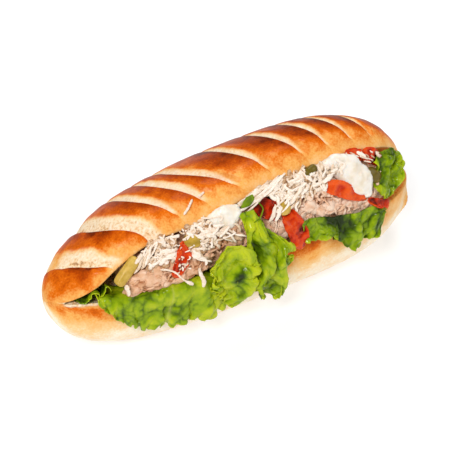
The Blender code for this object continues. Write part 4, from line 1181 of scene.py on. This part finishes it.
class SANDWICH_OT_tuna(bpy.types.Operator):
    """Make the tuna salad: a flaky wedge along the mouth, with chunks and slivers of fish on its front"""

    bl_idname = "sandwich.tuna"
    bl_label = "Tuna salad"

    def execute(self, context):
        settings = context.scene.sandwich_tuna
        mouth = Mouth()
        stations = np.linspace(-0.084, 0.0995, 300)
        corner = np.linspace(0, len(TUNA_RING), 96, endpoint=False)
        closed = np.array([*TUNA_RING, TUNA_RING[0]])
        shares = np.stack([np.interp(corner, np.arange(len(closed)), closed[:, k]) for k in (0, 1)], axis=-1)
        rings = mouth.front(stations[:, None], shares[None, :, 0], -0.0034, shares[None, :, 1])
        crags = np.abs(cloud(rings, 0.0075, 4, 3))
        grains = cloud(rings, 0.0022, 5, 3)
        rings = displaced(rings, 0.0019 - 0.0044 * crags + 0.0007 * grains)
        ends = mouth.front(np.array([stations[0] - 0.002, stations[-1] + 0.002]), 0.5, -0.003, 0.25)
        points = [tube_points(rings[None], ends[:1], ends[1:])]
        faces = tube_faces(1, *rings.shape[:2])
        # Painted shade: the body is darker in its crags, where it is set back, and lighter on its raised
        # grains.
        tones = [tube_values(0.52 - 0.5 * crags + 0.1 * grains)]
        rng = np.random.default_rng(11)
        patches = np.array([patch[:4] for patch in TUNA_PATCHES])
        share = np.array([patch[4] for patch in TUNA_PATCHES], float)
        # Chunks: broken pieces of muscle, their surface torn into short ridges.
        count = settings.chunks
        picked = patches[rng.choice(len(patches), count, p=share / share.sum())]
        x, s = rng.uniform(picked[:, 0], picked[:, 1]) / 1000, rng.uniform(picked[:, 2], picked[:, 3])
        here, axes = mouth.axes(x, s, rng.uniform(-2.6, 0.2, count) / 1000)
        axes = turned(axes, rng.uniform(-60, 80, count), rng.uniform(-35, 35, count))
        radii = rng.uniform((2.4, 1.6, 1.3), (6.0, 4.0, 2.6), (count, 3)) / 1000
        chunks, first, last = lumps(here, axes, radii, 3, *CHUNK_GRID, 0.04)
        away = unit(chunks - here[:, None, None])
        torn = 1 - 2 * np.abs(cloud(chunks * [0.6, 1.0, 1.0], 0.0026, 7, 3))
        chunks = chunks + away * (0.0009 * torn)[..., None]
        join(points, faces, tube_points(chunks, first, last), tube_faces(count, *CHUNK_GRID))
        # The near end is more stained by its dressing.
        stain = 0.54 * smooth(0.010, -0.030, x)[:, None, None] - 0.18
        # Painted light and shade: the torn ridges, which stand out, are lighter and the grooves between them
        # darker.
        tones.append(tube_values(rng.uniform(0.36, 0.94, (count, 1, 1)) - stain + 0.22 * torn, count))
        # Slivers: loose fibres of fish, pointed at both ends.
        count = settings.slivers
        picked = patches[rng.choice(len(patches), count, p=share / share.sum())]
        x, s = rng.uniform(picked[:, 0], picked[:, 1]), rng.uniform(picked[:, 2], picked[:, 3])
        out = rng.uniform(-0.6, 2.4, count)
        reach, angle = rng.uniform(1.0, 3.4, count), np.radians(rng.uniform(-70, 110, count))
        lean = rng.uniform(-0.7, 0.7, count)
        step = np.stack([reach * np.cos(angle), reach * np.sin(angle) / FRONT_HEIGHT, lean], axis=-1)
        place = np.stack([x, s, out], axis=-1)
        bows = rng.uniform(0, 0.8, count)
        made = shreds(mouth, place - step, place + step, bows, 0.0013, 0.0010, 8, *SLIVER_GRID, 2.0)
        join(points, faces, tube_points(*made), tube_faces(count, *SLIVER_GRID))
        tone = rng.uniform(0.45, 1.0, count) - 0.3 * smooth(10, -30, x)
        tones.append(np.repeat(tone, len(points[-1]) // count))
        material = tuna_material(settings)
        values = {"tone": np.concatenate(tones)}
        piece("tuna_salad", np.concatenate(points), faces, material, ["tuna"], "tuna salad", values)
        return {"FINISHED"}


# Tomato, gherkin, herb and mayonnaise

# Each strip: its node, its places in the mouth (x mm, s, mm out), its widths and thickness in mm, its tone.
TOMATOES = (
    (
        "tomato_left", ((-51, 0.83, 1.5), (-54, 0.64, 3.0), (-58, 0.44, 3.0), (-61.5, 0.29, 2.4)),
        (8, 10, 9, 6), 3.0, 0.5,
    ),
    (
        "tomato_centre_upper", ((-4, 0.85, 0.5), (2, 0.79, 2.0), (7, 0.67, 2.0), (10, 0.55, 1.0)),
        (9, 12, 11, 7), 3.0, 0.22,
    ),
    (
        "tomato_centre_lower", ((15, 0.62, 1.0), (17, 0.43, 3.6), (20, 0.22, 5.0), (21.5, 0.01, 5.6)),
        (8, 12, 13, 9), 3.0, 0.45,
    ),
    (
        "tomato_right_strip", ((44, 0.72, 2.0), (51, 0.65, 3.4), (61, 0.48, 3.4), (71, 0.31, 3.0)),
        (9, 10, 8, 3), 3.0, 0.66,
    ),
    ("tomato_right_tip", ((73, 0.29, 3.0), (79, 0.20, 4.4), (88, 0.08, 5.0)), (4, 6, 8), 2.8, 0.5),
    ("tomato_top_near", ((64, 0.98, 1.0), (69, 0.98, 1.8), (76, 0.92, 1.2)), (8, 9, 7), 2.6, 0.5),
    ("tomato_top_far", ((76, 0.96, 1.0), (82, 0.92, 2.0), (88, 0.80, 1.4)), (8, 10, 8), 2.6, 0.45),
)


def soft_strip(mouth, places, widths, thickness, steps, around, curl, blunt=6.0, squareness=2.6):
    """A strip's rings through places in the mouth, its widths in mm spread evenly along it."""
    line, outward = in_mouth(mouth, places, steps)
    t = np.linspace(0, 1, steps)
    wide = np.interp(t, np.linspace(0, 1, len(widths)), widths) / 1000
    return bar(line, outward, wide, np.full(steps, thickness / 1000), around, squareness, curl, blunt)


def closed_strip(rings):
    """Points and faces of one tube whose poles are the middles of its end rings."""
    first, last = rings[0].mean(axis=0), rings[-1].mean(axis=0)
    return tube_points(rings[None], first[None], last[None]), tube_faces(1, *rings.shape[:2])


class SANDWICH_OT_tomatoes(bpy.types.Operator):
    """Make the seven dried tomato strips, shrunken and wrinkled"""

    bl_idname = "sandwich.tomatoes"
    bl_label = "Dried tomatoes"

    def execute(self, context):
        settings = context.scene.sandwich_tomatoes
        material = tomato_material(settings)
        mouth = Mouth()
        for number, (node, places, widths, thickness, tone) in enumerate(TOMATOES):
            rings = soft_strip(mouth, places, widths, thickness, 70, 44, 0.0009)
            run = np.linspace(0, len(rings) * 0.0004, len(rings))[:, None]
            turn = np.linspace(0, 0.018, rings.shape[1])[None, :]
            drawn = [0.35 * run + 0 * turn, turn + 0 * run, np.full(rings.shape[:2], 0.01 * number)]
            drawn = np.stack(drawn, axis=-1)
            ridges = 1 - 3 * np.abs(cloud(drawn, 0.0032, number, 2))
            creases = cloud(rings, 0.0014, number + 9, 2)
            rings = displaced(rings, 0.0008 * ridges + 0.0003 * creases - 0.0004)
            points, faces = closed_strip(rings)
            # Painted light and shade: the raised ridges and creases are lighter and the sunken ones darker.
            values = {"tone": tube_values(tone - 0.08 + 0.26 * ridges + 0.16 * creases)}
            name = node.replace("tomato", "dried_tomato")
            piece(name, points, faces, material, [node], "dried tomato", values)
        return {"FINISHED"}


LUMP_GRID = (22, 30)
# Each lump: its node, its place in the mouth (x mm, s, mm out), its half sizes in mm, its turn and its tone.
GHERKIN_LUMPS = (
    ("gherkin_dice", -46.5, 0.80, 1.8, (5.4, 4.2, 3.2), -25, 0.5),
    ("gherkin_slice_low", 13.5, 0.67, 3.6, (4.2, 4.6, 1.8), 20, 0.6),
    ("gherkin_slice_high", 18.5, 0.80, 1.6, (4.0, 4.4, 2.0), 60, 0.5),
    ("gherkin_far", 80.5, 0.61, 1.8, (6.6, 4.4, 2.6), -35, -0.05),
    ("olive_bit", 37.0, 0.99, 3.4, (4.6, 2.8, 2.4), 15, -0.25),
)
GHERKIN_STICK = ((-94, 0.71, 2.6), (-87, 0.84, 2.0), (-79, 0.94, 1.0))


class SANDWICH_OT_gherkins(bpy.types.Operator):
    """Make the gherkin stick, dice and slices, and the bit of olive"""

    bl_idname = "sandwich.gherkins"
    bl_label = "Pickled gherkins"

    def execute(self, context):
        settings = context.scene.sandwich_gherkins
        material = gherkin_material(settings)
        mouth = Mouth()
        rings = soft_strip(mouth, GHERKIN_STICK, (6.2, 6.6, 6.2), 6.0, 60, 40, 0.0, 10.0, 3.2)
        rings = displaced(rings, 0.0002 * cloud(rings, 0.003, 3, 2))
        points, faces = closed_strip(rings)
        tone = 0.62 + 0.25 * cloud(rings * [0.3, 1.0, 1.0], 0.003, 4, 2)
        values = {"tone": tube_values(tone)}
        piece("pickle_stick", points, faces, material, ["gherkin_stick"], "pickled gherkin", values)
        for number, (node, x, s, out, radii, angle, tone) in enumerate(GHERKIN_LUMPS):
            here, axes = mouth.axes(np.array([x / 1000]), s, out / 1000)
            axes = turned(axes, np.array([float(angle)]), np.array([0.0]))
            made, first, last = lumps(here, axes, np.array([radii]) / 1000, number, *LUMP_GRID, 0.0)
            away = unit(made - here)
            made = made + away * (0.0004 * cloud(made, 0.0035, number, 2))[..., None]
            points, faces = tube_points(made, first, last), tube_faces(1, *LUMP_GRID)
            values = {"tone": tube_values(tone + 0.3 * cloud(made[0], 0.003, number, 2))}
            name = "olive_piece" if node == "olive_bit" else node.replace("gherkin", "pickle")
            piece(name, points, faces, material, [node], "pickled gherkin", values)
        return {"FINISHED"}


HERB_PLACES = ((-14, 0.97, 4.8), (-9, 1.01, 5.4), (-4, 1.03, 4.6))
HERB_STALK = ((-10, 0.70, 6.6), (-5, 0.73, 7.2), (-1, 0.83, 6.6), (-3, 0.93, 5.8))


class SANDWICH_OT_herb(bpy.types.Operator):
    """Make the small herb leaf on the mayonnaise"""

    bl_idname = "sandwich.herb"
    bl_label = "Herb leaf"

    def execute(self, context):
        settings = context.scene.sandwich_leaves
        material = lettuce_material(settings)
        material.name = "herb leaf green"
        mouth = Mouth()
        rings = soft_strip(mouth, HERB_PLACES, (2.5, 6, 4), 0.8, 40, 24, 0.0006, 3.0)
        rings = displaced(rings, 0.0002 * cloud(rings, 0.002, 4, 2))
        points, faces = closed_strip(rings)
        stalk = soft_strip(mouth, HERB_STALK, (0.9, 0.8), 0.8, 30, 10, 0.0, 10.0, 2.0)
        points = [points]
        join(points, faces, *closed_strip(stalk))
        points = np.concatenate(points)
        values = {"tone": np.full(len(points), 0.42), "vein": np.zeros(len(points))}
        piece("herb_sprig", points, faces, material, ["herb_leaf"], "herb leaf", values)
        return {"FINISHED"}


CREAMS = (
    ("mayonnaise_centre", ((-33, 0.98, 1.4), (-24, 0.93, 2.2), (-13, 0.92, 1.6)), (8, 14, 10), 6.4),
    (
        "mayonnaise_right",
        ((41, 0.96, 0.8), (52, 0.93, 2.2), (62, 0.82, 2.8), (70, 0.57, 2.8), (75, 0.34, 2.0)),
        (6, 13, 20, 16, 9),
        7.0,
    ),
)


class SANDWICH_OT_creams(bpy.types.Operator):
    """Make the two dollops of mayonnaise"""

    bl_idname = "sandwich.creams"
    bl_label = "Mayonnaise"

    def execute(self, context):
        settings = context.scene.sandwich_creams
        material = mayonnaise_material(settings)
        mouth = Mouth()
        for number, (node, places, widths, thickness) in enumerate(CREAMS):
            rings = soft_strip(mouth, places, widths, thickness, 90, 60, 0.0, 4.0, 2.2)
            folds = cloud(rings, 0.0085, number, 2) + 0.4 * np.abs(cloud(rings, 0.0034, number + 5, 2))
            rings = displaced(rings, 0.0021 * folds)
            points, faces = closed_strip(rings)
            piece(node.replace("mayonnaise", "cream"), points, faces, material, [node], "mayonnaise")
        return {"FINISHED"}


# The cheese


def shreds(mouth, starts, ends, bows, width, thickness, seed, steps=9, around=8, taper=10.0, knob=0.0):
    """Many grated shreds: each a flat bar bowed outward from its start to its end, twisted a little.

    Starts and ends are places in the mouth (x mm, s, mm out), and each line is a parabola between them,
    swayed sideways by a sine. Knob is how much wider a shred is where it was torn off, at its end.
    """
    rng = np.random.default_rng(seed)
    count = len(starts)
    t = np.linspace(0, 1, steps)[None, :, None]
    place = starts[:, None] + (ends - starts)[:, None] * t
    place[..., 2] += bows[:, None] * 4 * (t * (1 - t))[..., 0]
    side = rng.normal(0, 1.0, (count, 1)) * np.sin(np.pi * t[..., 0]) * 0.16
    side = side + rng.normal(0, 1.0, (count, 1)) * np.sin(2 * np.pi * t[..., 0]) * 0.06
    place[..., 0] += side * np.linalg.norm((ends - starts) * [1, FRONT_HEIGHT, 1], axis=1)[:, None]
    line, away = on_front(mouth, place)
    return shred_rings(line, unit(away), width, thickness, rng, around, taper, knob)


def shred_rings(line, outward, width, thickness, rng, around=8, taper=10.0, knob=0.0):
    """Rings of flat bars along many lines, each turned and twisted at random, with its two end points."""
    count, steps = line.shape[:2]
    t = np.linspace(0, 1, steps)
    along = unit(np.gradient(line, axis=1))
    side = unit(np.cross(along, outward))
    up = np.cross(side, along)
    twist = rng.uniform(-0.7, 0.7, (count, 1)) + rng.uniform(-0.9, 0.9, (count, 1)) * t[None]
    c, s = np.cos(twist)[..., None], np.sin(twist)[..., None]
    side, up = side * c + up * s, up * c - side * s
    wide = width * rng.uniform(0.45, 1.25, (count, 1)) * (1 + 0.24 * rng.uniform(-1, 1, (count, steps)))
    wide = wide * (1 + knob * smooth(0.78, 0.92, t))[None]
    thick = thickness * rng.uniform(0.6, 1.2, (count, 1)) * (1 + 0.16 * rng.uniform(-1, 1, (count, steps)))
    least = 0.55 if taper > 5 else 0.15
    close = (1 - np.abs(2 * t - 1) ** taper)[None] ** 0.5 * (1 - least) + least
    angle = 2 * np.pi * (np.arange(around) + 0.5) / around
    c, s = np.cos(angle), np.sin(angle)
    c, s = np.sign(c) * np.abs(c) ** 0.55, np.sign(s) * np.abs(s) ** 0.55
    w, h = (wide * close)[..., None, None] / 2, (thick * close)[..., None, None] / 2
    rings = line[:, :, None] + side[:, :, None] * w * c[:, None] + up[:, :, None] * h * s[:, None]
    first = line[:, 0] - along[:, 0] * 0.0003
    last = line[:, -1] + along[:, -1] * 0.0003
    return rings, first, last


# Heaps of shreds: x from and to in mm, s from and to, mm out from and to, how many, how long in mm and the
# angle in degrees.
CHEESE_HEAPS = {
    "cheese_left": (
        (-80, -70, 0.76, 0.96, 1.4, 3.6, 14, (6, 12), (30, 62)),
        (-74, -56, 0.60, 1.01, 0.8, 3.2, 74, (3, 9), (0, 180)),
        (-51, -33, 0.58, 1.02, 0.8, 4.2, 84, (3, 9), (0, 180)),
        (-40, -24, 0.62, 0.90, 2.4, 4.4, 18, (5, 10), (-50, 30)),
        (-28, -18, 0.52, 0.76, 3.0, 4.4, 7, (7, 12), (-60, -30)),
        (-48, -40, 0.42, 0.58, 3.2, 4.4, 5, (8, 12), (-60, -25)),
        (-60, -52, 0.36, 0.86, 3.4, 4.6, 28, (1, 3), (0, 180)),
    ),
    "cheese_centre": (
        (-9, 12, 0.92, 1.06, 2.0, 3.8, 30, (10, 22), (3, 22)),
        (9, 30, 0.76, 1.02, 1.0, 4.2, 92, (3, 9), (0, 180)),
        (26, 48, 0.70, 1.00, 0.8, 4.0, 84, (3, 9), (0, 180)),
        (4, 26, 0.62, 0.84, 3.0, 5.0, 16, (5, 10), (10, 60)),
        (42, 58, 0.78, 1.00, 3.4, 6.0, 30, (3, 8), (0, 180)),
        (66, 76, 0.90, 1.00, 2.6, 4.0, 9, (3, 6), (-80, -20)),
        (74, 88, 0.80, 0.98, 3.0, 4.2, 12, (2, 5), (-70, -20)),
    ),
}
# Each loose shred: its node, its start, end and bow, its width and its knob.
LOOSE_SHREDS = (
    ("shred_by_stick", ((-91, 0.66, 6.4), (-91, 0.36, 7.0), 0.6), 0.0023, 0.0),
    ("shred_hanging_long", ((-70, 0.57, 6.2), (-53, 0.11, 7.6), -1.6), 0.0015, 1.6),
    ("shred_hanging_short", ((-48, 0.36, 6.4), (-47, 0.0, 8.0), 0.4), 0.0025, 0.0),
    ("shred_at_lip", ((-38, 1.09, 3.0), (-29, 0.95, 5.8), 0.6), 0.0020, 0.0),
)
# Each shred on the crust: its node, and its start and end as x in mm and 120ths round the crust.
SHREDS_ON_CRUST = (
    ("shred_on_crust_long", (-46.0, 115.0), (-38.0, 111.0)),
    ("shred_on_crust_short", (-32.0, 111.3), (-28.5, 110.2)),
)
SHRED_LIFT = 0.0014
LOOSE_GRID = (16, 10)
CRUMB_GRID = (9, 12)
THICK_HEAP = 60
# Broken lumps lie under the thick of a heap, toned dark as painted shade in its gaps, and crumbs over it:
# their number, their least and greatest half sizes in mm, how far they are set back in mm, and their tone.
BROKEN_CHEESE = (
    (26, ((1.8, 1.4, 0.7), (3.8, 2.8, 1.2)), 1.2, 0.20),
    (60, ((0.5, 0.4, 0.3), (1.1, 0.7, 0.5)), -0.2, 0.75),
)


def crumbs(mouth, heap, count, radii, sink, rng):
    """Lumps of cheese scattered in a heap: points and faces, sink setting them back from its shreds in mm."""
    x_from, x_to, s_from, s_to, out_from, out_to = heap[:6]
    x, s = rng.uniform(x_from, x_to, count) / 1000, rng.uniform(s_from, s_to, count)
    here, axes = mouth.axes(x, s, (rng.uniform(out_from, out_to, count) - sink) / 1000)
    axes = turned(axes, rng.uniform(0, 180, count), rng.uniform(-30, 30, count))
    sizes = rng.uniform(*radii, (count, 3)) / 1000
    made, first, last = lumps(here, axes, sizes, int(rng.integers(1e6)), *CRUMB_GRID, 0.10)
    return tube_points(made, first, last), tube_faces(count, *CRUMB_GRID)


class SANDWICH_OT_cheese(bpy.types.Operator):
    """Make the grated cheese: two heaps of shreds and the loose shreds, each at its true size"""

    bl_idname = "sandwich.cheese"
    bl_label = "Grated cheese"

    def execute(self, context):
        settings = context.scene.sandwich_cheese
        material = cheese_material(settings)
        mouth = Mouth()
        rng = np.random.default_rng(5)
        for node, heaps in CHEESE_HEAPS.items():
            points, faces, tones = [], [], []
            for heap in heaps:
                x_from, x_to, s_from, s_to, out_from, out_to, count, length, tilt = heap
                x, s = rng.uniform(x_from, x_to, count), rng.uniform(s_from, s_to, count)
                out = rng.uniform(out_from, out_to, count)
                reach = rng.uniform(*length, count) / 2
                angle = np.radians(rng.uniform(*tilt, count))
                dx, ds = reach * np.cos(angle), reach * np.sin(angle) / FRONT_HEIGHT
                lean = rng.uniform(-0.8, 0.8, count)
                starts = np.stack([x - dx, s - ds, out - lean], axis=-1)
                ends = np.stack([x + dx, s + ds, out + lean], axis=-1)
                bows = rng.uniform(-0.2, 1.2, count)
                width = settings.width * min(1.0, 0.22 + 0.10 * length[1])
                made = shreds(mouth, starts, ends, bows, width, 0.62 * width, int(rng.integers(1e6)))
                join(points, faces, tube_points(*made), tube_faces(*made[0].shape[:3]))
                # Painted shade: shreds lower in a heap are darker and the top ones lighter.
                high = (out - out_from) / (out_to - out_from)
                tone = 0.25 + 0.50 * high + rng.uniform(0, 0.3, count)
                tones.append(np.repeat(tone, len(points[-1]) // count))
                for lumps_count, sizes, sink, tone in BROKEN_CHEESE if count > THICK_HEAP else ():
                    join(points, faces, *crumbs(mouth, heap, lumps_count, sizes, sink, rng))
                    tones.append(np.full(len(points[-1]), tone))
            values = {"tone": np.concatenate(tones)}
            piece("grated_" + node, np.concatenate(points), faces, material, [node], "grated cheese", values)
        single = {}
        for number, (node, (start, end, bow), width, knob) in enumerate(LOOSE_SHREDS):
            line = np.array([start], float), np.array([end], float), np.array([bow])
            single[node] = shreds(mouth, *line, width, 0.0012, number, *LOOSE_GRID, knob=knob)
        for number, (node, start, end) in enumerate(SHREDS_ON_CRUST):
            x, column = np.linspace(start, end, LOOSE_GRID[0]).T
            line, above = (mouth.on_crust(x / 1000, column, out + 0 * x) for out in (SHRED_LIFT, 0.01))
            away = unit(above - line)
            rng = np.random.default_rng(number)
            single[node] = shred_rings(line[None], away[None], 0.0026, 0.0012, rng, LOOSE_GRID[1])
        for node, made in single.items():
            points, faces = tube_points(*made), tube_faces(1, *LOOSE_GRID)
            values = {"tone": np.full(len(points), 0.7)}
            piece("cheese_" + node, points, faces, material, [node], "grated cheese", values)
        return {"FINISHED"}


# The stage

FLOOR_REACH = 4.0
FLOOR_GLOW = 0.54
WORLD_STRENGTH = 0.23
LIGHT_TARGET = (0, 0, 0.03)
# Each light: its name, its place, the side of its square and its power in watts.
LIGHTS = (
    ("key", (-1.0, -0.8, 1.3), 0.50, 22.0),
    ("top", (0.4, 0.6, 1.5), 0.8, 12.0),
    ("fill", (1.2, -1.2, 0.8), 0.9, 6.5),
)
# The photograph's camera looks at the target from this distance and angle. Lens and sensor are in mm.
CAMERA_TARGET = (0.0004, 0, 0.0402)
CAMERA_DISTANCE = 1.122
CAMERA_AZIMUTH = -32.93
CAMERA_ELEVATION = 36.96
LENS = 148.55
SENSOR = 36


class SANDWICH_OT_stage(bpy.types.Operator):
    """Make the plain floor, the soft lights and the camera"""

    bl_idname = "sandwich.stage"
    bl_label = "Floor, lights and camera"

    def execute(self, context):
        settings = context.scene.sandwich_stage
        scene = context.scene
        mesh = bpy.data.meshes.new("floor")
        corners = [(FLOOR_REACH * i, FLOOR_REACH * j, 0) for i, j in ((-1, -1), (1, -1), (1, 1), (-1, 1))]
        mesh.from_pydata(corners, [], [(0, 1, 2, 3)])
        floor = bpy.data.objects.new("floor", mesh)
        scene.collection.objects.link(floor)
        # Matt pale paint, which glows a little so that it reads as evenly lit from edge to edge.
        material = start_material(
            "painted floor",
            Base_Color=(*settings.floor, 1),
            Roughness=0.9,
            Specular_IOR_Level=0.1,
            Emission_Color=(1, 1, 1, 1),
            Emission_Strength=FLOOR_GLOW,
        )[0]
        mesh.materials.append(material)
        world = bpy.data.worlds.new("studio")
        world.use_nodes = True
        background = world.node_tree.nodes["Background"]
        background.inputs["Color"].default_value = (1, 1, 1, 1)
        background.inputs["Strength"].default_value = WORLD_STRENGTH * settings.light
        scene.world = world
        for name, place, side, watts in LIGHTS:
            lamp = bpy.data.lights.new(name, "AREA")
            lamp.size = side
            lamp.energy = watts * settings.light
            holder = bpy.data.objects.new(name, lamp)
            holder.location = place
            aim = Vector(LIGHT_TARGET) - Vector(place)
            holder.rotation_euler = aim.to_track_quat("-Z", "Y").to_euler()
            scene.collection.objects.link(holder)
        azimuth, elevation = np.radians(CAMERA_AZIMUTH), np.radians(CAMERA_ELEVATION)
        level = np.cos(elevation)
        back = Vector((np.sin(azimuth) * level, -np.cos(azimuth) * level, np.sin(elevation)))
        lens = bpy.data.cameras.new("camera")
        lens.lens = LENS
        lens.sensor_width = SENSOR
        camera = bpy.data.objects.new("camera", lens)
        camera.location = Vector(CAMERA_TARGET) + back * CAMERA_DISTANCE
        camera.rotation_euler = (-back).to_track_quat("-Z", "Y").to_euler()
        scene.collection.objects.link(camera)
        scene.camera = camera
        scene.view_settings.view_transform = "Standard"
        return {"FINISHED"}


OPERATORS = (
    SANDWICH_OT_roll,
    SANDWICH_OT_leaves,
    SANDWICH_OT_tuna,
    SANDWICH_OT_tomatoes,
    SANDWICH_OT_gherkins,
    SANDWICH_OT_herb,
    SANDWICH_OT_creams,
    SANDWICH_OT_cheese,
    SANDWICH_OT_stage,
)
SETTINGS = {
    "sandwich_roll": RollSettings,
    "sandwich_leaves": LeafSettings,
    "sandwich_tuna": TunaSettings,
    "sandwich_tomatoes": TomatoSettings,
    "sandwich_gherkins": GherkinSettings,
    "sandwich_creams": CreamSettings,
    "sandwich_cheese": CheeseSettings,
    "sandwich_stage": StageSettings,
}


class SANDWICH_PT_panel(bpy.types.Panel):
    """Lists the sandwich's settings and pieces"""

    bl_idname = "SANDWICH_PT_panel"
    bl_label = "Sandwich"
    bl_space_type = "VIEW_3D"
    bl_region_type = "UI"
    bl_category = "Sandwich"

    def draw(self, context):
        for operator in OPERATORS:
            self.layout.operator(operator.bl_idname)
        for label in SETTINGS:
            group = getattr(context.scene, label)
            box = self.layout.box()
            for name in group.__annotations__:
                box.prop(group, name)


def register():
    """Add the settings, the operators and the panel to Blender."""
    for kind in (*SETTINGS.values(), *OPERATORS, SANDWICH_PT_panel):
        bpy.utils.register_class(kind)
    for label, kind in SETTINGS.items():
        setattr(bpy.types.Scene, label, bpy.props.PointerProperty(type=kind))


def unregister():
    """Take them out again."""
    for label in SETTINGS:
        delattr(bpy.types.Scene, label)
    for kind in (SANDWICH_PT_panel, *OPERATORS[::-1], *list(SETTINGS.values())[::-1]):
        bpy.utils.unregister_class(kind)


def main():
    """Make every piece and the stage."""
    register()
    bpy.ops.sandwich.roll()
    bpy.ops.sandwich.leaves()
    bpy.ops.sandwich.tuna()
    bpy.ops.sandwich.tomatoes()
    bpy.ops.sandwich.gherkins()
    bpy.ops.sandwich.herb()
    bpy.ops.sandwich.creams()
    bpy.ops.sandwich.cheese()
    bpy.ops.sandwich.stage()


if __name__ == "__main__":
    main()
